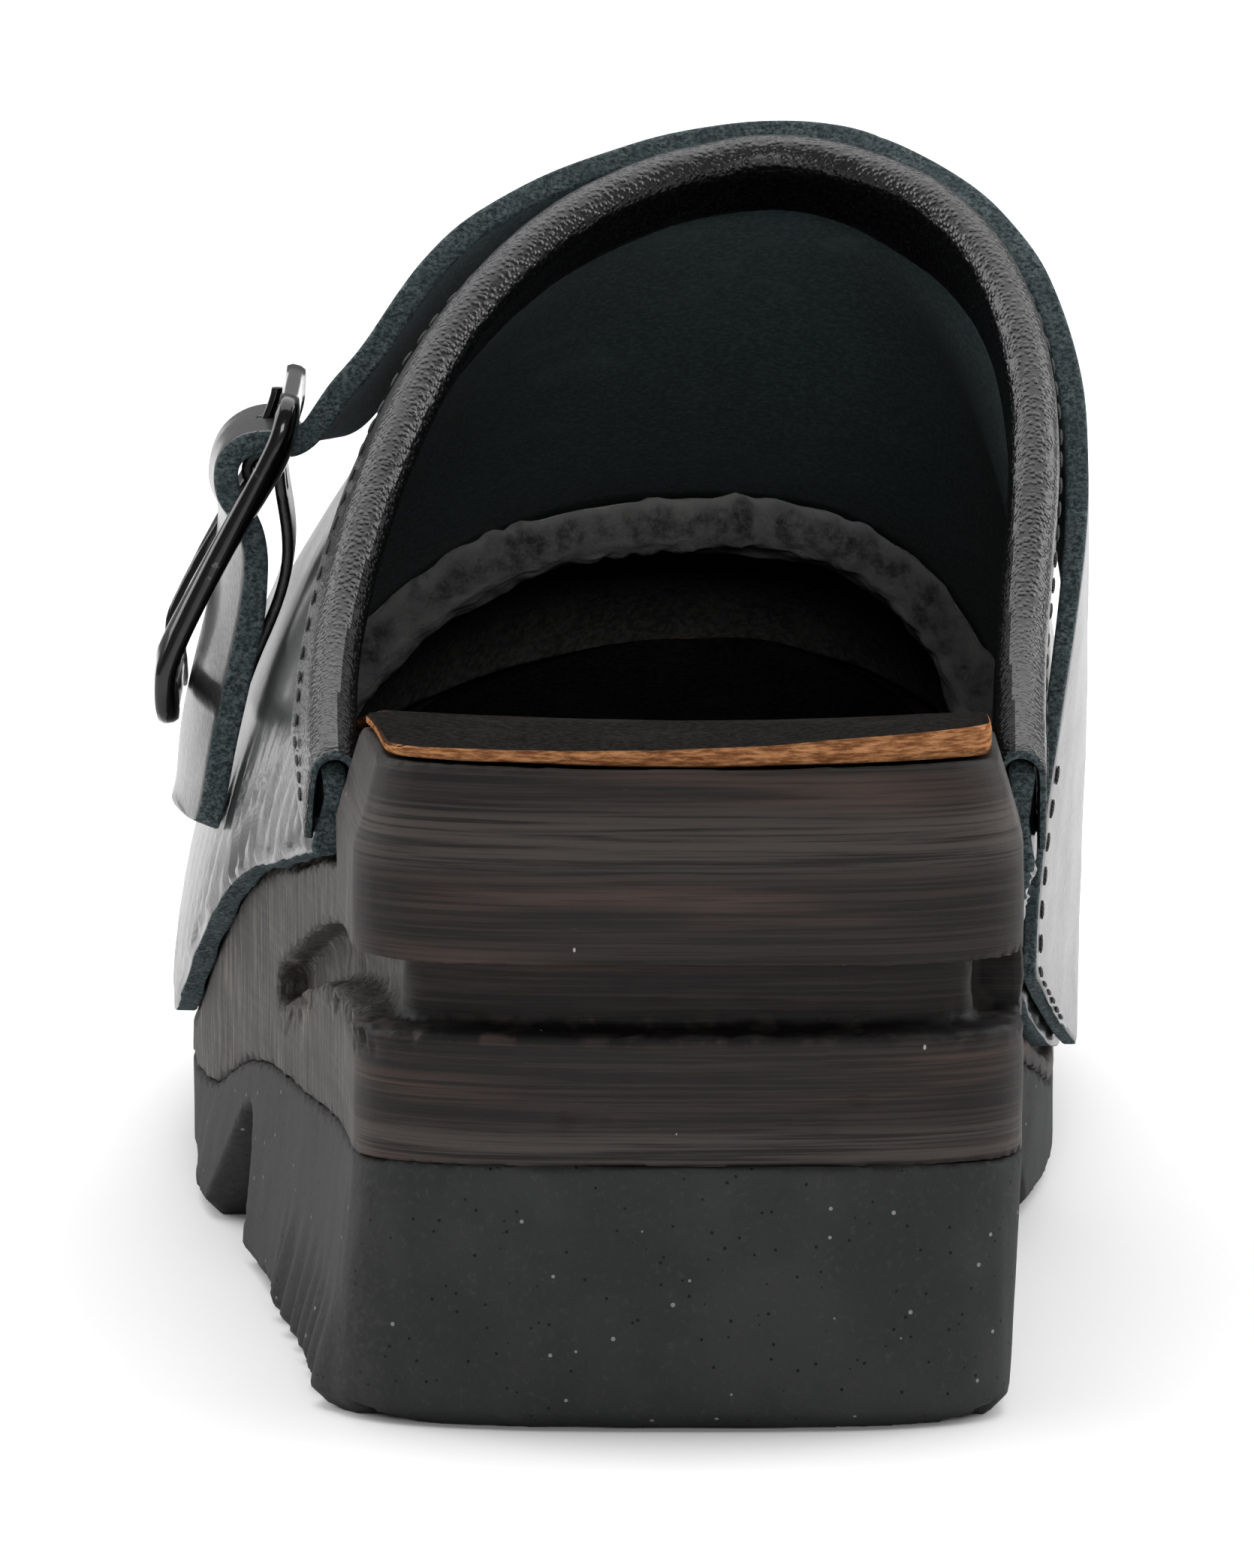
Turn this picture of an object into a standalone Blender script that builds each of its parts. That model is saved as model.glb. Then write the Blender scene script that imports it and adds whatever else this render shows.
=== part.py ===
"""Left safety clog: wooden wedge sole on a rubber outsole, hollow leather upper open at the heel,
bound topline, safety toe cap, and an instep strap fastened with a buckle on the outer side.

Metres, +Z up, +Y to the toe, +X to the inner side of the foot. The origin is on the floor,
under the heel. Distances along the shoe, called station here, start at the back of the heel.
"""
import math

import bmesh
import bpy
from mathutils import Matrix, Vector

# Sole
SOLE_LENGTH = 0.268
HEEL_WIDTH = 0.0712
BALL_WIDTH = 0.1025
HEEL_HEIGHT = 0.0718         # floor to footbed at the back
RUBBER_HEEL = 0.029          # rubber under the wood at the back
TOE_SPRING = 0.009
TOE_SWING = 0.004            # toe's middle towards the inner side
HEEL_CORNER = 0.014          # length over which the back rounds off
HEEL_REST = 0.045            # back of the heel to the origin
FOOTBED_DISH = 0.0012
BACK_BEVEL_HEIGHT = 0.0096
BACK_BEVEL_INSET = 0.0028
BOTTOM_BEVEL = 0.0022
RUBBER_FLARE = 0.0032        # rubber's outer bottom edge out past the wood, under the heel
RUBBER_TUCK = 0.0014         # its inner bottom edge in from the wood
FLARE_FADE = 0.03            # length over which both end, past the arch
GROOVE_HEIGHT = 0.0083
GROOVE_DEPTH = 0.0055
GROOVE_DROP = 0.0208         # footbed to the groove's upper edge
GROOVE_OUTER_REACH = 0.083   # stations of the groove's two ends
GROOVE_INNER_REACH = 0.019
GROOVE_END = 0.0045          # length of its rounded outer end
GROOVE_NARROWS = 0.28        # share of its height and of its depth lost towards that end
GROOVE_SHALLOWS = 0.4
GROOVE_SLANT = 0.0006        # its floor's edges in from its mouth's edges
ARCH_HEIGHT = 0.0165
ARCH_START = 0.088           # front of the heel at the floor
ARCH_END = 0.1155            # back of the forefoot at the floor
TREAD_PITCH = 0.0072
TREAD_DEPTH = 0.0026
TREAD_LENGTH = 0.024         # how far a tread cut runs in from the side
TREAD_WIDTH = 0.0034
TREAD_START = 0.0075         # station of the first cut
TREAD_MARGIN = 0.006         # cuts to the arch's corners
INSOLE_THICKNESS = 0.0013
INSOLE_CURL = 0.0026         # lift of the insole's inner back corner

# Upper
WALL = 0.0027
INSTEP_HEIGHT = 0.1232       # floor to the topline's peak
WING_START = 0.042           # station where the upper's side wings end
TOPLINE_REACH = 0.125        # station of the topline's peak
BINDING_THICKNESS = 0.0010
BINDING_LEG = 0.0085
CAP_START = 0.206
CAP_WALL = 0.0020
CAP_STRIP_THICKNESS = 0.0015
CAP_STRIP_LEG = 0.0075
CLEARANCE = 0.0003           # between pieces that meet
SLACK = 0.0005             # between curved pieces under tension

# Strap and buckle
STRAP_WIDTH = 0.0235
STRAP_THICKNESS = 0.0030
STRAP_BASE_SPREAD = 0.014    # extra width of the stitched base
STRAP_SKIVING = 0.45         # share of the thickness that is pared off the base
STRAP_SETBACK = 0.0025       # topline's peak to the strap's back edge
STRAP_FRONT_LIFT = 0.6       # its front edge off the leather, at most, as a share of its thickness
STRAP_SWING = 0.0043        # tail's front edge further out than its back edge
TAIL_STATION = 0.108         # strap's back edge at the buckle
BUCKLE_TOP = 0.0954          # height of the frame's upper end
BUCKLE_DROP = 0.0343
BUCKLE_FLARE = 0.0144
BUCKLE_SIDE = 0.0449        # frame's upper end from the shoe's middle plane
BUCKLE_BAR = 0.0034          # width of the frame's sides
BUCKLE_PLAY = 0.0015        # strap's edges to the frame's sides
BUCKLE_THICKNESS = 0.0017
PIN_RADIUS = 0.0009
FRAME_CORNER = 0.22         # power of the frame's rounding; 1 is an ellipse
PRONG_RADIUS = 0.00075
PRONG_RING_START = 60        # degrees from the inner side, turning outwards below the pin
PRONG_RING_TURN = 235
HOLDER_WIDTH = 0.014
HOLDER_THICKNESS = 0.0013
HOLDER_SET_IN = 0.007        # strap's back edge to the holder's back edge
HOLDER_LANDING = 0.064       # height where the holder meets the upper
HOLDER_END = 0.0585          # height of its lower end
TAIL_ROUNDING = 0.005

SIDES = (-1, 1)              # outer side, inner side

# station share, outer half width, inner half width (shares from heel width to ball width), midline
OUTLINE = (
    (0.00, 0.00, 0.00, 0.04),
    (0.05, 0.03, 0.03, 0.02),
    (0.13, 0.12, 0.04, 0.00),
    (0.21, 0.27, 0.00, -0.10),
    (0.30, 0.45, -0.17, -0.30),
    (0.37, 0.61, 0.16, -0.50),
    (0.42, 0.73, 0.58, -0.70),
    (0.48, 0.87, 0.85, -0.90),
    (0.58, 1.00, 0.97, -1.00),
    (0.67, 0.98, 1.00, -0.70),
    (0.77, 0.84, 0.99, 0.00),
    (0.88, 0.66, 0.92, 1.00),
    (1.00, 0.48, 0.84, 1.00),
)
OUTER_SHARE_HEEL = 0.49      # outer side's part of the whole width
OUTER_SHARE_BALL = 0.568
MIDLINE_SHIFT = 0.006
TOE_ROUND_START = 0.70
TOE_ROUND_POWER = 2.35
HEEL_ROUND_POWER = 2.9

# station share, footbed, wood's lower face, leather's lower edge outside and inside (shares of
# the heel height)
HEIGHTS = (
    (0.000, 1.000, 0.405, 0.809, 0.809),
    (0.110, 0.988, 0.381, 0.788, 0.778),
    (0.160, 0.970, 0.367, 0.773, 0.742),
    (0.240, 0.900, 0.343, 0.706, 0.614),
    (0.330, 0.793, 0.321, 0.637, 0.450),
    (0.400, 0.696, 0.277, 0.543, 0.326),
    (0.450, 0.619, 0.205, 0.435, 0.254),
    (0.500, 0.553, 0.176, 0.333, 0.227),
    (0.560, 0.491, 0.167, 0.227, 0.223),
    (0.670, 0.466, 0.167, 0.223, 0.223),
    (0.800, 0.471, 0.167, 0.223, 0.223),
    (1.000, 0.486, 0.167, 0.223, 0.223),
)

# station share, ridge height (share of the instep height), ridge from the middle plane (share of
# the ball width), outer and inner roundness, how far the leather's lower edge stands out of the
# sole on both sides (shares of the wall), inner bulge (share of the ball width)
LAST = (
    (0.150, 1.300, 0.095, 1.45, 3.60, 0.60, 0.65, 0.006),
    (0.224, 1.260, 0.097, 1.45, 3.60, 0.75, 0.70, 0.024),
    (0.300, 1.200, 0.098, 1.45, 3.60, 0.90, 0.80, 0.050),
    (0.373, 1.127, 0.098, 1.51, 3.05, 0.95, 0.60, 0.038),
    (0.430, 1.056, 0.098, 1.57, 2.60, 0.95, 0.30, 0.025),
    (0.470, 1.000, 0.097, 1.64, 2.30, 0.95, 0.30, 0.017),
    (0.515, 0.942, 0.090, 1.84, 2.42, 0.95, 0.40, 0.010),
    (0.580, 0.862, 0.070, 1.92, 2.80, 0.95, 0.70, 0.006),
    (0.670, 0.725, 0.045, 2.10, 2.70, 0.95, 0.95, 0.004),
    (0.770, 0.588, 0.025, 2.20, 2.50, 0.95, 0.95, 0.000),
    (0.880, 0.525, 0.025, 2.25, 2.40, 0.95, 0.95, 0.000),
    (1.000, 0.490, 0.030, 2.30, 2.30, 0.95, 0.95, 0.000),
)
TOE_DROP_START = 0.82
TOE_DROP_POWER = 2.5

# share from wing end to topline peak, share from wing end height to the peak's height
TOPLINE = (
    (0.00, 0.00),
    (0.22, 0.135),
    (0.46, 0.43),
    (0.70, 0.725),
    (0.88, 0.915),
    (1.00, 1.00),
)
WING_HEIGHT = 0.0642         # floor to the topline at the wing end

# share across the arch tunnel, share of its height
ARCH = ((0.00, 0.00), (0.07, 0.42), (0.17, 0.80), (0.32, 1.00), (0.50, 0.90), (0.72, 0.52), (1.00, 0.00))

# share of the drop, share of the flare, along the buckle's frame from top to bottom
BOW = ((0.00, 0.00), (0.12, 0.08), (0.19, 0.16), (0.25, 0.27), (0.40, 0.60), (0.49, 0.76),
       (0.61, 0.87), (0.83, 0.99), (0.93, 1.00), (1.00, 0.97))
PIN_SHARE = 0.235            # where the middle pin crosses the frame

# strap's back edge over the foot: angle over the arch from inner lower edge (0) to the ridge (1)
# and on to the outer side, share of the way from the arch's back to the topline's peak, lift off
# the leather (shares of the strap's thickness), how much of the base's spread there is
STRAP_OVER = (
    (0.00, 0.00, 0.25, 1.00),
    (0.10, 0.03, 0.28, 0.95),
    (0.22, 0.08, 0.50, 0.60),
    (0.34, 0.20, 0.70, 0.20),
    (0.46, 0.38, 0.80, 0.00),
    (0.60, 0.58, 0.70, 0.00),
    (0.75, 0.80, 0.62, 0.00),
    (0.90, 0.95, 0.58, 0.00),
    (1.02, 1.00, 0.60, 0.00),
    (1.15, 0.95, 0.74, 0.00),
    (1.28, 0.85, 1.45, 0.00),
    (1.36, 0.77, 1.90, 0.00),
)
# strap's middle line past the foot: from the frame's upper end outwards (share of the flare) and
# down (share of the drop), how much of the tail's swing there is, how much of its back edge's
# way from the foot to the buckle is left, and how much of its slope over the foot
STRAP_FREE = (
    (-1.119, -0.443, 0.00, 0.92, 0.97),
    (-0.876, -0.312, 0.00, 0.69, 0.90),
    (-0.629, -0.163, 0.00, 0.46, 0.78),
    (-0.382, -0.050, 0.00, 0.26, 0.56),
    (-0.183, 0.073, 0.00, 0.11, 0.26),
    (-0.020, 0.123, 0.00, 0.02, 0.05),
    (0.15, 0.115, 0.00, 0.00, 0.00),
    (0.355, 0.123, 0.00, 0.00, 0.00),
    (0.48, 0.165, 0.10, 0.00, 0.00),
    (0.515, 0.228, 0.25, 0.00, 0.00),
    (0.485, 0.295, 0.45, 0.00, 0.00),
    (0.40, 0.343, 0.60, 0.00, 0.00),
    (0.32, 0.400, 0.75, 0.00, 0.00),
    (0.278, 0.474, 0.88, 0.00, 0.00),
    (0.275, 0.566, 1.00, 0.00, 0.00),
    (0.320, 0.734, 1.00, 0.00, 0.00),
    (0.446, 0.957, 1.00, 0.00, 0.00),
    (0.552, 1.154, 1.00, 0.00, 0.00),
    (0.632, 1.350, 0.85, 0.00, 0.00),
    (0.695, 1.425, 0.80, 0.00, 0.00),
)


def read(rows, column, at):
    """Smooth value in a table's column; the first column is the place, in rising order."""
    places = [row[0] for row in rows]
    values = [row[column] for row in rows]
    if at <= places[0]:
        return values[0]
    if at >= places[-1]:
        return values[-1]
    last = len(rows) - 1
    k = max(i for i in range(last) if places[i] <= at)

    def rise(i):
        return (values[i + 1] - values[i]) / (places[i + 1] - places[i])

    def slope(i):
        if i == 0:
            return rise(0)
        if i == last:
            return rise(last - 1)
        before, after = rise(i - 1), rise(i)
        if before * after <= 0:
            return 0.0
        return 2 * before * after / (before + after)

    span = places[k + 1] - places[k]
    t = (at - places[k]) / span
    start, end = slope(k) * span, slope(k + 1) * span
    return ((2 * t ** 3 - 3 * t ** 2 + 1) * values[k] + (t ** 3 - 2 * t ** 2 + t) * start
            + (3 * t ** 2 - 2 * t ** 3) * values[k + 1] + (t ** 3 - t ** 2) * end)


def ease(value, low, high):
    """0 below low, 1 above high, smooth between."""
    t = min(1.0, max(0.0, (value - low) / (high - low)))
    return t * t * (3 - 2 * t)


def round_off(share, power):
    """Quarter of a superellipse: 1 at share 0, 0 at share 1."""
    share = min(1.0, max(0.0, share))
    return (1 - share ** power) ** (1 / power)


def half_width(side, share):
    """Half width of the sole on one side, before the ends round off."""
    heel_part = OUTER_SHARE_HEEL if side < 0 else 1 - OUTER_SHARE_HEEL
    ball_part = OUTER_SHARE_BALL if side < 0 else 1 - OUTER_SHARE_BALL
    heel, ball = HEEL_WIDTH * heel_part, BALL_WIDTH * ball_part
    return heel + (ball - heel) * read(OUTLINE, 1 if side < 0 else 2, share)


def outline_point(side, station):
    """Point of the sole's outline seen from above."""
    share = station / SOLE_LENGTH
    shift = read(OUTLINE, 3, share)
    middle = TOE_SWING * shift if shift > 0 and share > 0.5 else MIDLINE_SHIFT * shift
    toe = round_off((share - TOE_ROUND_START) / (1 - TOE_ROUND_START), TOE_ROUND_POWER)
    heel = round_off((HEEL_CORNER - station) / HEEL_CORNER, HEEL_ROUND_POWER)
    reach = side * half_width(side, share) - middle
    return Vector((middle + reach * toe * heel, station))


def outline(side, station, offset=0.0):
    """Outline point moved outwards by an offset, square to the outline."""
    here = outline_point(side, station)
    step = 0.0004
    before = outline_point(side, max(0.0, station - step))
    after = outline_point(side, min(SOLE_LENGTH, station + step))
    if station < step / 2:
        return Vector((here.x, here.y - offset))
    if station > SOLE_LENGTH - step / 2:
        return Vector((here.x, here.y + offset))
    along = (after - before).normalized()
    outward = Vector((along.y, -along.x)) * side
    return here + outward * offset


def spring(station):
    """Rise of the forefoot towards the toe."""
    share = max(0.0, station / SOLE_LENGTH - 0.62) / 0.38
    return TOE_SPRING * share ** 2


def footbed(station):
    return HEEL_HEIGHT * read(HEIGHTS, 1, station / SOLE_LENGTH) + spring(station)


def wood_bottom(station):
    share = read(HEIGHTS, 2, station / SOLE_LENGTH) / HEIGHTS[0][2]
    return RUBBER_HEEL * share + spring(station)


def leather_edge(side, station):
    """Height of the leather's lower edge."""
    return HEEL_HEIGHT * read(HEIGHTS, 3 if side < 0 else 4, station / SOLE_LENGTH) + spring(station)


def ridge_height(station):
    share = station / SOLE_LENGTH
    top = INSTEP_HEIGHT * read(LAST, 1, share) + spring(station)
    edge = leather_edge(1, station)
    toe = round_off((share - TOE_DROP_START) / (1 - TOE_DROP_START), TOE_DROP_POWER)
    return edge + (top - edge) * toe


def stand_out(side, station):
    """How far the leather's lower edge stands out of the sole."""
    return WALL * read(LAST, 5 if side < 0 else 6, station / SOLE_LENGTH)


def skin_at_height(side, station, part):
    """Outer leather surface at a part (0 to 1) of the section's height."""
    share = station / SOLE_LENGTH
    edge = outline(side, station, stand_out(side, station))
    other = outline(-side, station, stand_out(-side, station))
    power = read(LAST, 3 if side < 0 else 4, share)
    toe = round_off((share - TOE_ROUND_START) / (1 - TOE_ROUND_START), TOE_ROUND_POWER)
    ridge_x = BALL_WIDTH * read(LAST, 2, share)
    ridge_x = ridge_x * toe + (edge.x + other.x) / 2 * (1 - toe)
    ridge_y = (edge.y + other.y) / 2
    reach = (1 - part ** power) ** (1 / power)
    high_bulge = 6.75 * part ** 2 * (1 - part)
    bulge = BALL_WIDTH * read(LAST, 7, share) * high_bulge if side > 0 else 0.0
    low, high = leather_edge(side, station), ridge_height(station)
    return Vector((ridge_x + (edge.x - ridge_x) * reach + bulge,
                   ridge_y + (edge.y - ridge_y) * reach,
                   low + (high - low) * part))


def skin(turn, station):
    """Outer leather surface; turn runs from 0 at the outer edge over 1 at the ridge to 2."""
    side = -1 if turn <= 1 else 1
    angle = math.pi / 2 * (turn if turn <= 1 else 2 - turn)
    power = min(2.0, read(LAST, 3 if side < 0 else 4, station / SOLE_LENGTH))
    return skin_at_height(side, station, min(1.0, abs(math.sin(angle)) ** (2 / power)))


def skin_frame(turn, station):
    """Point, outward normal, and direction towards the toe on the leather's outer surface."""
    turn_step, station_step = 0.004, 0.0004
    low, high = max(0.0, turn - turn_step), min(2.0, turn + turn_step)
    if low < 1 < high:
        low, high = 1 - turn_step, 1 + turn_step
    across = skin(high, station) - skin(low, station)
    front = min(SOLE_LENGTH * 0.9995, station + station_step)
    along = skin(turn, front) - skin(turn, station - station_step)
    return skin(turn, station), along.cross(across).normalized() * -1, along.normalized()


def topline_height(station):
    share = (station - WING_START) / (TOPLINE_REACH - WING_START)
    return WING_HEIGHT + (INSTEP_HEIGHT - WING_HEIGHT) * read(TOPLINE, 1, share)


def topline_station(turn):
    """Station where a line of constant turn leaves the leather at the back."""
    low, high = WING_START, TOPLINE_REACH
    if skin(turn, low).z <= topline_height(low):
        return low
    for _ in range(40):
        middle = (low + high) / 2
        if skin(turn, middle).z > topline_height(middle):
            low = middle
        else:
            high = middle
    return high


def wing_turn(side):
    """Turn of the corner where the wing's end meets the topline."""
    low, high = 0.0, 1.0
    for _ in range(40):
        middle = (low + high) / 2
        turn = middle if side < 0 else 2 - middle
        if skin(turn, WING_START).z < topline_height(WING_START):
            low = middle
        else:
            high = middle
    return low if side < 0 else 2 - low


def turns_between(start, end, count):
    return [start + (end - start) * k / count for k in range(count + 1)]


def topline_turns():
    """Turns across the topline, from the outer wing's corner to the inner wing's."""
    outer, inner = wing_turn(-1), wing_turn(1)
    return turns_between(outer, 1, 14) + turns_between(1, inner, 14)[1:]


def all_turns():
    """Turns across the whole upper, lower edge to lower edge."""
    outer, inner = wing_turn(-1), wing_turn(1)
    return turns_between(0, outer, 2)[:-1] + topline_turns() + turns_between(inner, 2, 2)[1:]


def stations(count, extra=()):
    """Stations along the sole, close together at both ends."""
    spread = [SOLE_LENGTH * (1 - math.cos(math.pi * k / count)) / 2 for k in range(count + 1)]
    kept = [s for s in spread if all(abs(s - e) > 0.0025 for e in extra)]
    return sorted(kept + list(extra))


def sole_stations():
    """Stations that the wood and the rubber share."""
    return stations(40, seat_step())


def seat_step():
    """Stations where the wood's side steps in to seat the upper and its binding."""
    end = WING_START - WALL / 2 - SLACK - BINDING_THICKNESS - CLEARANCE
    return end - 0.0024, end


def material(name, colour, roughness, metallic=0.0):
    made = bpy.data.materials.new(name)
    made.use_nodes = True
    shader = made.node_tree.nodes["Principled BSDF"]
    shader.inputs["Base Color"].default_value = (*colour, 1)
    shader.inputs["Roughness"].default_value = roughness
    shader.inputs["Metallic"].default_value = metallic
    return made


def place(name, mesh, collection, look=None):
    """New object with a mesh, put so that the origin is under the heel."""
    made = bpy.data.objects.new(name, mesh)
    made.location = (0, -HEEL_REST, 0)
    collection.objects.link(made)
    if look:
        mesh.materials.append(look)
    return made


def loft(name, sections, closed=True, capped=False):
    """Mesh of quads through sections with as many points each."""
    grid = bmesh.new()
    rings = [[grid.verts.new(point) for point in section] for section in sections]
    count = len(sections[0])
    for first, second in zip(rings, rings[1:]):
        for k in range(count if closed else count - 1):
            after = (k + 1) % count
            grid.faces.new((first[k], first[after], second[after], second[k]))
    if capped:
        grid.faces.new(rings[0][::-1])
        grid.faces.new(rings[-1])
    bmesh.ops.remove_doubles(grid, verts=grid.verts, dist=1e-6)
    bmesh.ops.dissolve_degenerate(grid, edges=grid.edges, dist=1e-7)
    if closed:
        bmesh.ops.recalc_face_normals(grid, faces=grid.faces)
        if grid.calc_volume(signed=True) < 0:
            bmesh.ops.reverse_faces(grid, faces=grid.faces)
    mesh = bpy.data.meshes.new(name)
    grid.to_mesh(mesh)
    grid.free()
    mesh.shade_smooth()
    mesh.set_sharp_from_angle(angle=math.radians(38))
    return mesh


def rod(name, start, end, radius, collection):
    """Round bar between two points."""
    span = end - start
    turned = span.to_track_quat("Z", "Y").to_matrix().to_4x4()
    made = bmesh.new()
    bmesh.ops.create_cone(made, cap_ends=True, segments=12, radius1=radius, radius2=radius,
                          depth=span.length, matrix=Matrix.Translation((start + end) / 2) @ turned)
    mesh = bpy.data.meshes.new(name)
    made.to_mesh(mesh)
    made.free()
    return place(name, mesh, collection)


def solidify(target, thickness, outwards=False):
    """Thickness on an open sheet whose faces point outwards."""
    wall = target.modifiers.new("Wall", "SOLIDIFY")
    wall.thickness = thickness
    wall.offset = 1 if outwards else -1
    wall.use_even_offset = True
    wall.use_quality_normals = True


def cut(target, cutter, operation="DIFFERENCE"):
    """Boolean on a target."""
    tool = target.modifiers.new("Cut", "BOOLEAN")
    tool.object = cutter
    tool.operation = operation
    tool.solver = "EXACT"
    cutter.hide_render = True
    cutter.display_type = "WIRE"


def wood_levels(side, station):
    """Inset and height of each level of the wood's side, bottom to top."""
    edge, rim = leather_edge(side, station), footbed(station)
    worn = ease(station, *seat_step())
    middle = max(edge + 0.3 * (rim - edge), rim - BACK_BEVEL_HEIGHT)
    toe = 0.0038 * ease(station, 0.80 * SOLE_LENGTH, SOLE_LENGTH)

    def lean(height):
        high = ridge_height(station) - edge
        part = min(0.9, (height - edge) / max(high, 0.001))
        share = station / SOLE_LENGTH
        foot = outline(side, station, stand_out(side, station))
        if share > 0.9:
            return 0.0
        return max(0.0, side * (foot.x - skin_at_height(side, station, part).x))

    room = topline_height(station) - BINDING_LEG - rim
    binding = (BINDING_THICKNESS + 2 * SLACK) * (1 - ease(room, -0.002, 0.0045))
    seat = WALL + CLEARANCE + binding - stand_out(side, station)
    bevel = BACK_BEVEL_INSET * (1 - worn)
    return (
        (0.0, wood_bottom(station)),
        (0.0, edge - 3 * CLEARANCE),
        (seat * worn, edge - 2 * CLEARANCE),
        ((seat + lean(middle) + toe * 0.5 + SLACK) * worn, middle),
        ((seat + lean(rim) + toe + SLACK) * worn + bevel, rim),
    )


def footbed_row(station, ends, columns, lift=0.0, curl=0.0):
    """Points across the footbed between two end points, dished in the middle."""
    outer, inner = ends
    row = []
    for k in range(columns + 1):
        across = k / columns
        point = outer.lerp(inner, across)
        fullness = min(1.0, abs(inner.x - outer.x) / HEEL_WIDTH)
        dish = FOOTBED_DISH * (1 - (2 * across - 1) ** 2) * fullness
        corner = curl * fullness * ease(across, 0.55, 1.0) * (1 - ease(station, 0.0, 0.045))
        row.append(Vector((point.x, point.y, footbed(station) - dish + lift + corner)))
    return row


def make_wood(collection, cutters):
    sections = []
    for station in sole_stations():
        sides = {}
        for side in SIDES:
            levels = wood_levels(side, station)
            sides[side] = [(*outline(side, station, -inset), height) for inset, height in levels]
        top = footbed_row(station, (Vector(sides[-1][-1]), Vector(sides[1][-1])), 5)
        bottom = [Vector(sides[1][0]).lerp(Vector(sides[-1][0]), k / 4) for k in range(1, 4)]
        sections.append([Vector(p) for p in sides[-1][:-1]] + top
                        + [Vector(p) for p in reversed(sides[1][:-1])] + bottom)
    wood = place("wooden_sole", loft("wooden_sole", sections), collection,
                 material("black stained wood", (0.022, 0.019, 0.018), 0.62))
    turn_in = [GROOVE_OUTER_REACH - GROOVE_END * share for share in (0.0, 0.1, 0.35, 0.7)]
    ring = [(-1, s) for s in turn_in]
    ring += [(-1, s) for s in reversed(sole_stations()) if s < GROOVE_OUTER_REACH - GROOVE_END]
    ring += [(1, s) for s in sole_stations() if 0 < s < GROOVE_INNER_REACH]
    ring += [(1, GROOVE_INNER_REACH)]
    bands = []
    for side, station in ring:
        far = ease(station, GROOVE_OUTER_REACH * 0.2, GROOVE_OUTER_REACH) if side < 0 else 0.0
        depth = GROOVE_DEPTH * (1 - GROOVE_SHALLOWS * far)
        full = max(0.2, round_off((station - GROOVE_OUTER_REACH + GROOVE_END) / GROOVE_END, 2.0))
        half = GROOVE_HEIGHT / 2 * (1 - GROOVE_NARROWS * far) * full
        middle = footbed(station) - GROOVE_DROP - GROOVE_HEIGHT / 2 * (1 + GROOVE_NARROWS * far)
        outside, inside = outline(side, station, GROOVE_DEPTH), outline(side, station, -depth)
        floor = half - GROOVE_SLANT * full
        bands.append([Vector((*outside, middle + half)), Vector((*inside, middle + floor)),
                      Vector((*inside, middle - floor)), Vector((*outside, middle - half))])
    cut(wood, place("groove_cutter", loft("groove_cutter", bands, capped=True), cutters))


def make_outsole(collection, cutters):
    sections = []
    for station in sole_stations():
        floor = spring(station)
        top = wood_bottom(station) - CLEARANCE
        heel = ease(station, 0.0, HEEL_CORNER) * (1 - ease(station, ARCH_END, ARCH_END + FLARE_FADE))
        corner = [[Vector((*outline(side, station, offset), height))
                   for offset, height in ((flare * heel - BOTTOM_BEVEL, floor),
                                          (flare * heel, floor + BOTTOM_BEVEL), (0, top))]
                  for side, flare in ((-1, RUBBER_FLARE), (1, -RUBBER_TUCK))]
        upper_row = [corner[0][2].lerp(corner[1][2], k / 4) for k in range(1, 4)]
        lower_row = [corner[1][0].lerp(corner[0][0], k / 4) for k in range(1, 4)]
        sections.append(corner[0] + upper_row + corner[1][::-1] + lower_row)
    sole = place("outsole", loft("outsole", sections), collection,
                 material("charcoal rubber", (0.030, 0.032, 0.033), 0.72))
    span = ARCH_END - ARCH_START
    margin = 0.002
    profile = [(ARCH_START - 0.0006, -margin)]
    profile += [(ARCH_START + span * k / 20, ARCH_HEIGHT * read(ARCH, 1, k / 20)) for k in range(21)]
    profile += [(ARCH_END + 0.0012, -margin)]
    walls = [[Vector((x, y, z)) for y, z in profile] for x in (-BALL_WIDTH, BALL_WIDTH)]
    cut(sole, place("arch_cutter", loft("arch_cutter", walls, capped=True), cutters))
    count_heel = int((ARCH_START - TREAD_MARGIN) / TREAD_PITCH)
    count_front = int((0.93 * SOLE_LENGTH - ARCH_END) / TREAD_PITCH)
    places = [TREAD_START + TREAD_PITCH * k for k in range(count_heel)]
    places += [ARCH_END + TREAD_MARGIN + TREAD_PITCH * k for k in range(count_front)]
    made = bmesh.new()
    for station in places:
        for side in SIDES:
            rim = outline_point(side, station).x
            floor = spring(station)
            bar = bmesh.ops.create_cone(made, cap_ends=True, segments=4, depth=2 * TREAD_LENGTH,
                                        radius1=TREAD_DEPTH, radius2=TREAD_DEPTH)["verts"]
            bmesh.ops.rotate(made, verts=bar, matrix=Matrix.Rotation(math.pi / 2, 3, "Y"))
            bmesh.ops.scale(made, verts=bar, vec=(1, TREAD_WIDTH / (2 * TREAD_DEPTH), 1))
            bmesh.ops.translate(made, verts=bar, vec=(rim, station, floor))
    bmesh.ops.recalc_face_normals(made, faces=made.faces)
    mesh = bpy.data.meshes.new("tread_cutter")
    made.to_mesh(mesh)
    made.free()
    cut(sole, place("tread_cutter", mesh, cutters))


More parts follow.
